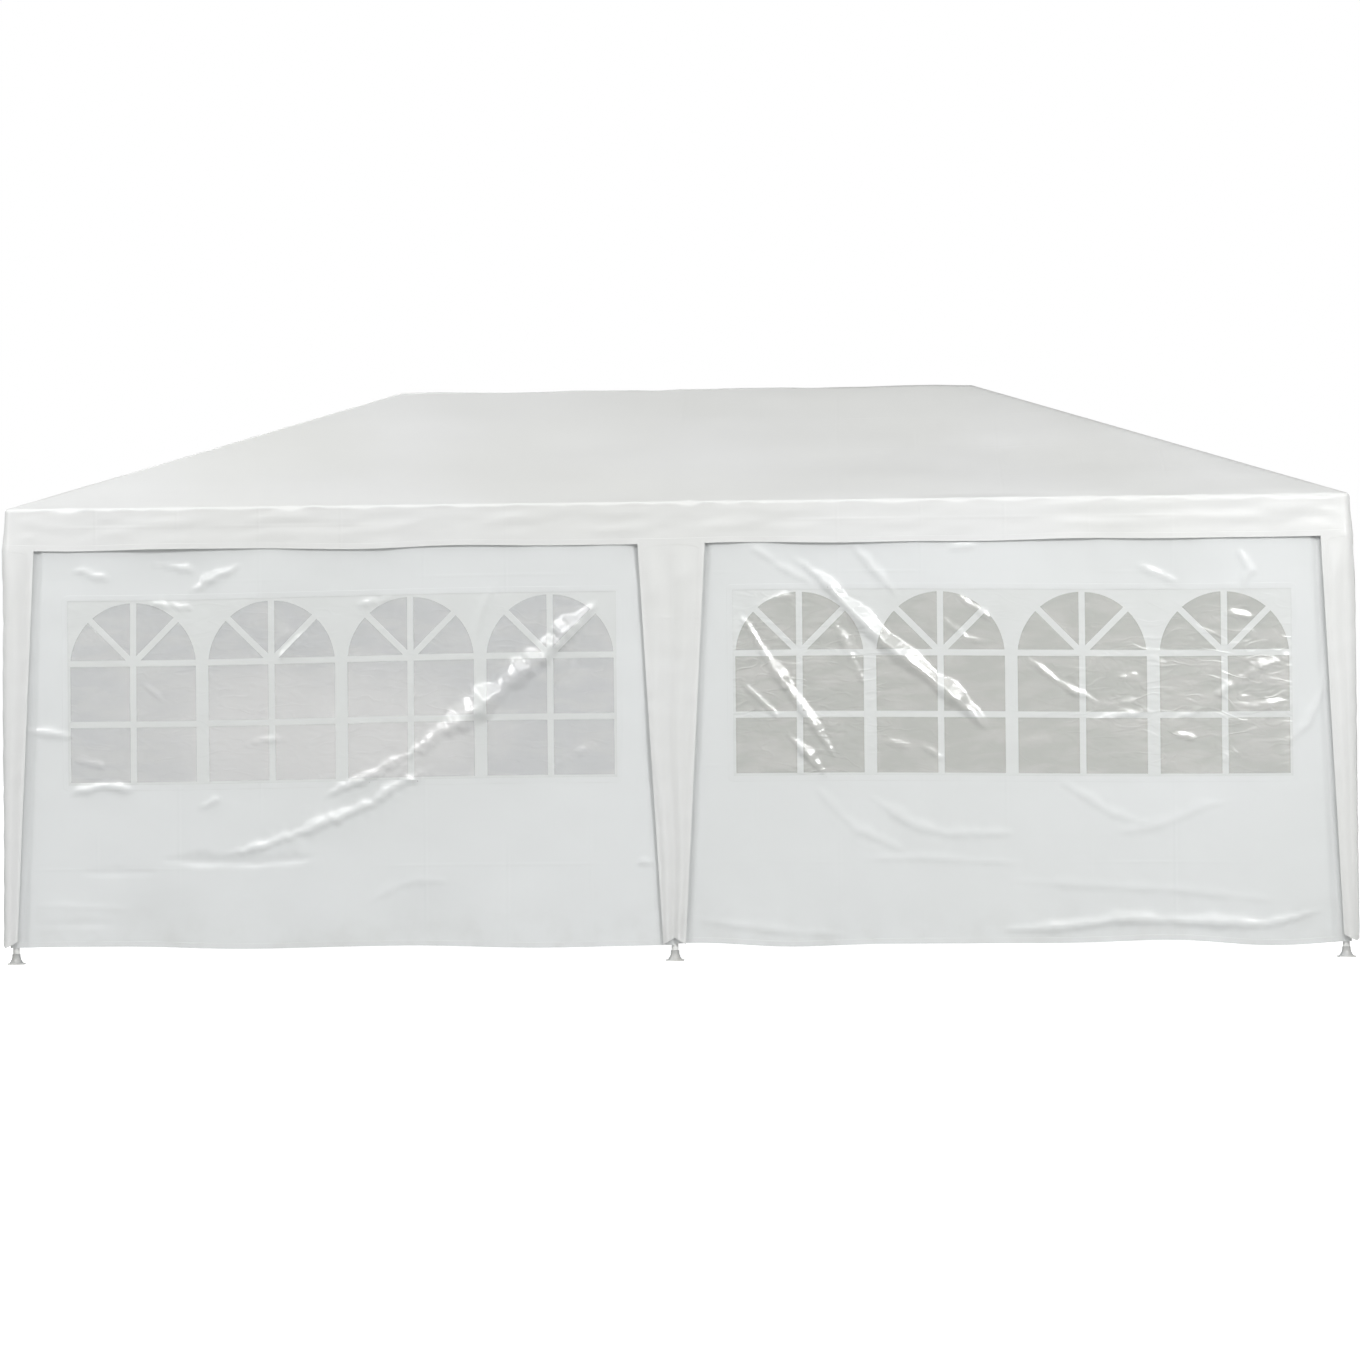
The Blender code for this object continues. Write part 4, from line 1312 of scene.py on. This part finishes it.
def tube_profile(length, joint=None):
    """A tube with a swaged joint, where the next length is pushed over a narrower neck."""
    full, neck, end = TUBE_RADIUS, TUBE_RADIUS - 0.0014, TUBE_RADIUS - 0.0008
    profile = [(0.0, end), (0.0008, full)]
    if joint:
        profile += [(joint - 0.004, full), (joint - 0.002, neck), (joint + 0.0005, neck)]
        profile += [(joint + 0.0006, TUBE_RADIUS - 0.0002), (joint + 0.0012, full)]
    return profile + [(length - 0.0008, full), (length, end)]


def join(name, parts):
    """One object from several, keeping their materials."""
    combined = bmesh.new()
    materials = []
    for part in parts:
        mesh = part.data
        material = mesh.materials[0]
        if material not in materials:
            materials.append(material)
        first = len(combined.faces)
        combined.from_mesh(mesh)
        combined.faces.ensure_lookup_table()
        for face in combined.faces[first:]:
            face.material_index = materials.index(material)
        bpy.data.objects.remove(part)
        bpy.data.meshes.remove(mesh)
    mesh = bpy.data.meshes.new(name)
    combined.to_mesh(mesh)
    combined.free()
    for material in materials:
        mesh.materials.append(material)
    return put_in_scene(name, mesh)


def frame_points():
    """Where the tubes meet, at the eave and at the ridge."""
    points = {}
    for side, way_y in SIDES.items():
        points[f"{side}_middle"] = Vector((0.0, way_y * LEG_Y, EAVE_AXIS))
        for end, way_x in ENDS.items():
            points[f"{side}_{end}"] = Vector((way_x * LEG_X, way_y * LEG_Y, EAVE_AXIS))
    for end, way_x in ENDS.items():
        points[f"ridge_{end}"] = Vector((way_x * RIDGE_AXIS_HALF, 0.0, RIDGE_AXIS))
    points["ridge_middle"] = Vector((0.0, 0.0, RIDGE_AXIS))
    return points


def frame_tubes():
    """Each tube's node with the two points it runs between."""
    tubes = {}
    for side in SIDES:
        for end in ENDS:
            tubes[f"eave_tube_{side}_{end}"] = (f"{side}_middle", f"{side}_{end}")
            tubes[f"hip_rafter_{side}_{end}"] = (f"ridge_{end}", f"{side}_{end}")
        tubes[f"middle_rafter_{side}"] = ("ridge_middle", f"{side}_middle")
    for end in ENDS:
        tubes[f"eave_tube_{end}_end"] = (f"front_{end}", f"rear_{end}")
        tubes[f"ridge_tube_{end}"] = ("ridge_middle", f"ridge_{end}")
    return tubes


def make_tubes(points, tree):
    for name, (start, end) in frame_tubes().items():
        way = points[end] - points[start]
        length = way.length - 2.0 * SLEEVE_REACH
        profile = tube_profile(length, length / 2.0 if length > LONGEST_TUBE else None)
        begin = points[start] + way.normalized() * SLEEVE_REACH
        tube = turned(name + "_tube", tree, STEEL, along_line(begin, points[end], profile))
        finish_piece(tube, "coated_steel", name)


def make_legs(points, tree):
    """Each leg: two lengths of tube, and a flared foot on a round base."""
    base = [(0.0, 0.0405), (0.0012, 0.042), (0.0045, 0.042), (FOOT_BASE_HEIGHT, 0.0405)]
    flare = [(0.0063, 0.0325)]
    for share in np.linspace(0.0, 1.0, 9):
        flare.append((0.008 + 0.034 * share, 0.0185 + 0.0125 * (1.0 - share) ** 2.2))
    flare += [(0.046, 0.0185), (FOOT_HEIGHT, 0.0172)]
    for name, top in points.items():
        if name.startswith("ridge"):
            continue
        ground = Vector((top.x, top.y, 0.0))
        above = ground + Vector((0.0, 0.0, 0.0476))
        shaft = tube_profile(top.z - SLEEVE_REACH - 0.047, LEG_JOINT)
        parts = [
            turned("base", tree, FOOT_BASE, along_line(ground, top, base)),
            turned("flare", tree, FOOT_STEEL, along_line(ground, top, flare)),
            turned("shaft", tree, STEEL, along_line(above, top, shaft)),
        ]
        finish_piece(join(f"leg_{name}_post", parts), "coated_steel", f"leg_{name}")


def connector_node(name):
    if name.startswith("ridge"):
        return f"ridge_connector_{name.removeprefix('ridge_')}"
    if name.endswith("_middle"):
        return f"side_connector_{name.removesuffix('_middle')}"
    return f"corner_connector_{name}"


def welded(sleeves):
    """One mesh from sleeves that cross each other."""
    body = sleeves[0]
    for other in sleeves[1:]:
        modifier = body.modifiers.new("weld", "BOOLEAN")
        modifier.operation = "UNION"
        modifier.solver = "EXACT"
        modifier.object = other
    mesh = evaluated_mesh(body)
    for sleeve in sleeves:
        bpy.data.objects.remove(sleeve)
    mesh.shade_smooth()
    mesh.set_sharp_from_angle(angle=radians(32.0))
    return mesh


def make_connectors(points, tree):
    """Rimmed sleeves, each a little thinner than the one before. Gives the places of their buttons."""
    buttons = []
    for name, centre in points.items():
        ways = []
        for start, end in frame_tubes().values():
            if name in (start, end):
                ways.append((points[end if name == start else start] - centre).normalized())
        if not name.startswith("ridge"):
            ways.append(Vector((0.0, 0.0, -1.0)))
        sleeves = []
        for number, way in enumerate(ways):
            radius = SLEEVE_RADIUS - number * SLEEVE_STEP
            tail = -0.004 if max(abs(part) for part in way) < 0.999 else -0.0165
            rim = radius + RIM_RISE
            profile = [(tail, radius - 0.002), (tail + 0.002, radius), (0.092, radius)]
            profile += [(0.0935, rim), (0.0985, rim), (0.0997, radius)]
            sleeves.append(turned("sleeve", tree, STEEL, along_line(centre, centre + way, profile)))
            across = way.cross(Vector((0.0, 0.0, 1.0)))
            facing = Vector((0.0, -centre.y, 0.0)) if across.length < 0.1 else -across.cross(way)
            facing.normalize()
            buttons.append((centre + way * BUTTON_PLACE + facing * (radius - 0.0005), facing, way))
        node = connector_node(name)
        finish_piece(put_in_scene(node + "_sleeves", welded(sleeves)), "coated_steel", node)
    return buttons


def make_frame():
    tree = turned_tree()
    points = frame_points()
    make_tubes(points, tree)
    make_legs(points, tree)
    buttons = make_connectors(points, tree)
    domes = scatter_tree("spring buttons", dome_part)
    finish_piece(
        scattered("spring_buttons", domes, BUTTON_SIZE, 8, BRIGHT_STEEL, buttons), "coated_steel"
    )
    make_ties(points)


def make_ties(points):
    """Webbing loops that hold the roof cloth to the eave tubes and the walls to the legs."""
    up = Vector((0.0, 0.0, 1.0))
    loops, straps = [], []
    for start, end in frame_tubes().values():
        if "ridge" in start:
            continue
        way = (points[end] - points[start]).normalized()
        length = (points[end] - points[start]).length
        for share in EAVE_TIES:
            place = points[start] + way * (length * share + 0.012)
            loops.append((place, way, up))
            straps.append((place + up * 0.0212, up, way))
    for name, top in points.items():
        if not name.startswith("ridge"):
            for height in LEG_TIES:
                loops.append((Vector((top.x, top.y, height)), up, (1.0, 0.0, 0.0)))
    rings = scatter_tree("webbing loops", loop_part)
    flats = scatter_tree("webbing straps", block_part)
    parts = [
        scattered("loops", rings, LOOP_SIZE, 32, WEBBING, loops),
        scattered("straps", flats, STRAP_SIZE, 1, WEBBING, straps),
    ]
    finish_piece(join("frame_ties", parts), "polyethylene")


def ribbon(path, across, width, thickness):
    """A flat strap of webbing along a path, with its width in one fixed direction."""
    path = np.array([tuple(place) for place in path])
    half = np.array(across) * width / 2.0
    points = np.concatenate([path - half, path + half])
    count = len(path)
    travelled = np.concatenate([[0.0], np.cumsum(np.linalg.norm(np.diff(path, axis=0), axis=1))])
    flat_map = np.column_stack([np.repeat([0.0, width], count), np.tile(travelled, 2)])
    faces = [(k, k + 1, count + k + 1, count + k) for k in range(count - 1)]
    strap = thicken(mesh_object("strap", points, faces, WEBBING, flat_map), thickness)
    mesh = evaluated_mesh(strap)
    strap.modifiers.clear()
    strap.data = mesh
    return strap


def make_door_ties(centre_x, centre_z):
    """Two straps tied round the rolled door, each with two hanging ends."""
    ties = []
    for y in TIE_PLACES:
        loop = [
            (centre_x + TIE_RADIUS * cos(angle), y, centre_z + TIE_RADIUS * sin(angle))
            for angle in np.linspace(-0.5 * pi, 1.5 * pi, 49)
        ]
        ties.append(ribbon(loop, (0.0, 1.0, 0.0), TIE_WIDTH, TIE_THICK))
        for lean, length in ((0.10, 0.15), (-0.16, 0.12)):
            tail = [
                (centre_x - 0.002 + 0.012 * sin(4.0 * share) * share, y + lean * length * share,
                 centre_z - 0.0446 - length * share)
                for share in np.linspace(0.0, 1.0, 14)
            ]
            ties.append(ribbon(tail, (0.0, 1.0, 0.0), TIE_WIDTH, TIE_THICK))
    finish_piece(join("door_roll_ties", ties), "polyethylene")


def make_door_roll():
    """The right door, rolled up on the inside of its wall and tied twice."""
    low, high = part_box("door_roll_right")
    centre_x, centre_z = (low.x + high.x) / 2.0, (low.z + high.z) / 2.0
    turn = np.linspace(0.0, 2.0 * pi * ROLL_TURNS, ROLL_TURNS * POINTS_PER_TURN + 1)
    radius = ROLL_OUTER + (ROLL_INNER - ROLL_OUTER) * turn / turn[-1]
    start_x = [WALL_OUTER_X - 0.0016, WALL_OUTER_X - 0.0019, centre_x + ROLL_OUTER + 0.0008]
    start_z = [centre_z + 0.045, centre_z + 0.03, centre_z + 0.012]
    path_x = np.concatenate([start_x, centre_x + radius * np.cos(turn)])
    path_z = np.concatenate([start_z, centre_z - radius * np.sin(turn)])
    travelled = np.concatenate([[0.0], np.cumsum(np.hypot(np.diff(path_x), np.diff(path_z)))])
    across = lines(low.y + 0.001, high.y - 0.001, 0.06)
    u, v = np.meshgrid(across, travelled, indexing="ij")
    past_top = smooth(0.05, 0.12, v)
    wobble = 0.0007 * ripple(u, 3.0 * v, 700, 0.30, 6) * past_top
    away_x, away_z = np.broadcast_to(path_x, u.shape) - centre_x, np.broadcast_to(path_z, u.shape) - centre_z
    scale = 1.0 + (wobble - 0.0006) / np.hypot(away_x, away_z) * past_top
    skewed = u + 0.004 * np.sin(v * 9.0) * smooth(0.1, 0.5, v)
    points = np.stack([centre_x + away_x * scale, skewed, centre_z + away_z * scale], axis=-1)
    rows = len(travelled)
    faces = [
        (i * rows + j, i * rows + j + 1, (i + 1) * rows + j + 1, (i + 1) * rows + j)
        for i in range(len(across) - 1) for j in range(rows - 1)
    ]
    flat_map = np.stack([u, v], axis=-1).reshape(-1, 2)
    edge = np.minimum(u - across[0], across[-1] - u)
    roll = mesh_object("door_right_roll", points.reshape(-1, 3), faces, WALL_CLOTH, flat_map, edge)
    finish_piece(thicken(roll), "polyethylene", "door_roll_right")
    make_door_ties(centre_x, centre_z)


def make_zips():
    """Zips down both sides of each door: closed on the left end, open on the right."""
    teeth, tapes, sliders = [], [], []
    for end in ENDS:
        closed = end == "left"
        facing = Vector((*OUTWARD[end], 0.0))
        along = Vector((-OUTWARD[end][1], OUTWARD[end][0], 0.0))
        heights = np.arange(WALL_BOTTOM + 0.012, DOOR_TOP - 0.004, TOOTH_PITCH)
        rise = lines(WALL_BOTTOM + 0.006, DOOR_TOP - 0.002, 0.03)
        beyond, shift, tape_beyond, tape_width = OPEN_ZIP
        if closed:
            beyond, shift, tape_beyond, tape_width = CLOSED_ZIP
            shift = np.where(np.arange(len(heights)) % 2 == 0, shift, -shift)
        for side in (-1.0, 1.0):
            edge = side * (DOOR_HALF + beyond)
            s = np.full(len(heights), edge) + shift * side
            beside = side * (DOOR_HALF + 0.008)
            out = end_relief(np.full(len(heights), beside), heights, SEEDS[end]) + 0.0012
            teeth += [(place, facing, along) for place in stand(end, s, heights, out)]
            middle = np.full(len(rise), side * (DOOR_HALF + tape_beyond))
            out = end_relief(np.full(len(rise), beside), rise, SEEDS[end]) + 0.0008
            tapes.append(ribbon(stand(end, middle, rise, out), -along, tape_width, TAPE_THICK))
            low_place = stand(end, np.array([edge]), np.array([WALL_BOTTOM + 0.03]), np.array([0.0022]))[0]
            sliders += make_slider(Vector(low_place), facing, along)
    blocks = scatter_tree("zip teeth", block_part)
    row = scattered("teeth", blocks, TOOTH_SIZE, 1, ZIP_TEETH, teeth)
    finish_piece(join("door_zips", [row, *tapes]), "polyethylene")
    finish_piece(join("door_zip_sliders", sliders), "coated_steel")


def rounded_block(size, bevel, place, facing, along):
    """A block of bright steel with rounded edges: its size along, up and outwards."""
    block = bmesh.new()
    bmesh.ops.create_cube(block, size=1.0)
    bmesh.ops.scale(block, vec=size, verts=block.verts)
    bmesh.ops.bevel(block, geom=block.edges[:], offset=bevel, segments=2, affect="EDGES", profile=0.5)
    turn = Matrix((along, Vector((0.0, 0.0, 1.0)), facing)).transposed().to_4x4()
    bmesh.ops.transform(block, matrix=Matrix.Translation(place) @ turn, verts=block.verts)
    bmesh.ops.recalc_face_normals(block, faces=block.faces[:])
    mesh = bpy.data.meshes.new("block")
    block.to_mesh(mesh)
    block.free()
    mesh.shade_smooth()
    mesh.materials.append(BRIGHT_STEEL)
    return put_in_scene("block", mesh)


def make_slider(place, facing, along):
    """A zip slider: its body, its bridge and the pull tab that hangs from it."""
    blocks = []
    for size, bevel, out, down in SLIDER_BLOCKS:
        centre = place + facing * out - Vector((0.0, 0.0, down))
        blocks.append(rounded_block(size, bevel, centre, facing, along))
    return blocks


def stitch_places(cloth, wall, route, seed=None):
    """Places, one pitch apart, where a line of stitches sits on a cloth that hangs on one wall."""
    corners = [vertex.co.copy() for vertex in cloth.data.vertices]
    surface = BVHTree.FromPolygons(corners, [tuple(face.vertices) for face in cloth.data.polygons])
    inward = -Vector((*OUTWARD[wall], 0.0))
    found = []
    for (s_from, z_from), (s_to, z_to) in zip(route, route[1:]):
        count = max(1, round(hypot(s_to - s_from, z_to - z_from) / STITCH_PITCH))
        shares = (np.arange(count) + 0.5) / count
        s, z = s_from + (s_to - s_from) * shares, z_from + (z_to - z_from) * shares
        if seed is not None:
            z = z + droop(wall, s, z, seed)
        along = stand(wall, np.array([s_from, s_to]), np.array([z_from, z_to]), np.zeros(2))
        along = Vector(along[1] - along[0]).normalized()
        for origin in stand(wall, s, z, np.full(count, 0.08)):
            hit, normal, _, _ = surface.ray_cast(Vector(origin), inward, 0.2)
            if hit is not None:
                found.append((hit + normal * 0.0001, normal, along))
    return found


def make_stitches():
    """Every sewn line, as single stitches on the cloth's outer face."""
    places = []
    roof = bpy.data.objects["roof_cover"]
    for half in HALVES:
        side, end = half.split("_")
        cloth, seed = bpy.data.objects[f"wall_{half}"], SEEDS[half]
        span, is_right = wall_span(side, end)
        left, right, low, high = strip_bounds(span)
        left, right, low, high = left - STRIP_SEAM, right + STRIP_SEAM, low - STRIP_SEAM, high + STRIP_SEAM
        seam = [(left, low), (right, low), (right, high), (left, high), (left, low)]
        places += stitch_places(cloth, side, seam, seed)
        hem = [(span[0] + 0.01, HEM_LINE), (span[1] - 0.01, HEM_LINE)]
        places += stitch_places(cloth, side, hem, seed)
        sign = 1.0 if is_right else -1.0
        route = [(sign * (cover_high.x + 0.01), VALANCE_LINE), (sign * (corner_low.x - 0.01), VALANCE_LINE)]
        places += stitch_places(roof, side, route)
    beside, above = DOOR_HALF + 0.022, DOOR_TOP + 0.012
    for end in ENDS:
        cloth, seed = bpy.data.objects[f"wall_{end}"], SEEDS[end]
        for sign in (-1.0, 1.0):
            places += stitch_places(cloth, end, [(sign * beside, 0.09), (sign * beside, above)], seed)
            hem = [(sign * (beside + 0.01), HEM_LINE), (sign * 1.46, HEM_LINE)]
            places += stitch_places(cloth, end, hem, seed)
        places += stitch_places(cloth, end, [(-beside, above), (beside, above)], seed)
        inner = -corner_high.y - 0.01
        places += stitch_places(roof, end, [(-inner, VALANCE_LINE), (inner, VALANCE_LINE)])
    tree = scatter_tree("stitches", block_part)
    finish_piece(scattered("stitches", tree, STITCH_SIZE, 1, THREAD, places), "polyethylene")


def finish_frame():
    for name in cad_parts:
        obj = bpy.data.objects.get(name)
        if obj and obj.type == "MESH":
            for slot in obj.material_slots:
                slot.material = STEEL


make_floor()
make_studio()
make_camera()
make_roof_cover()
make_side_walls()
make_end_walls()
make_door_roll()
make_zips()
make_stitches()
make_frame()
finish_frame()
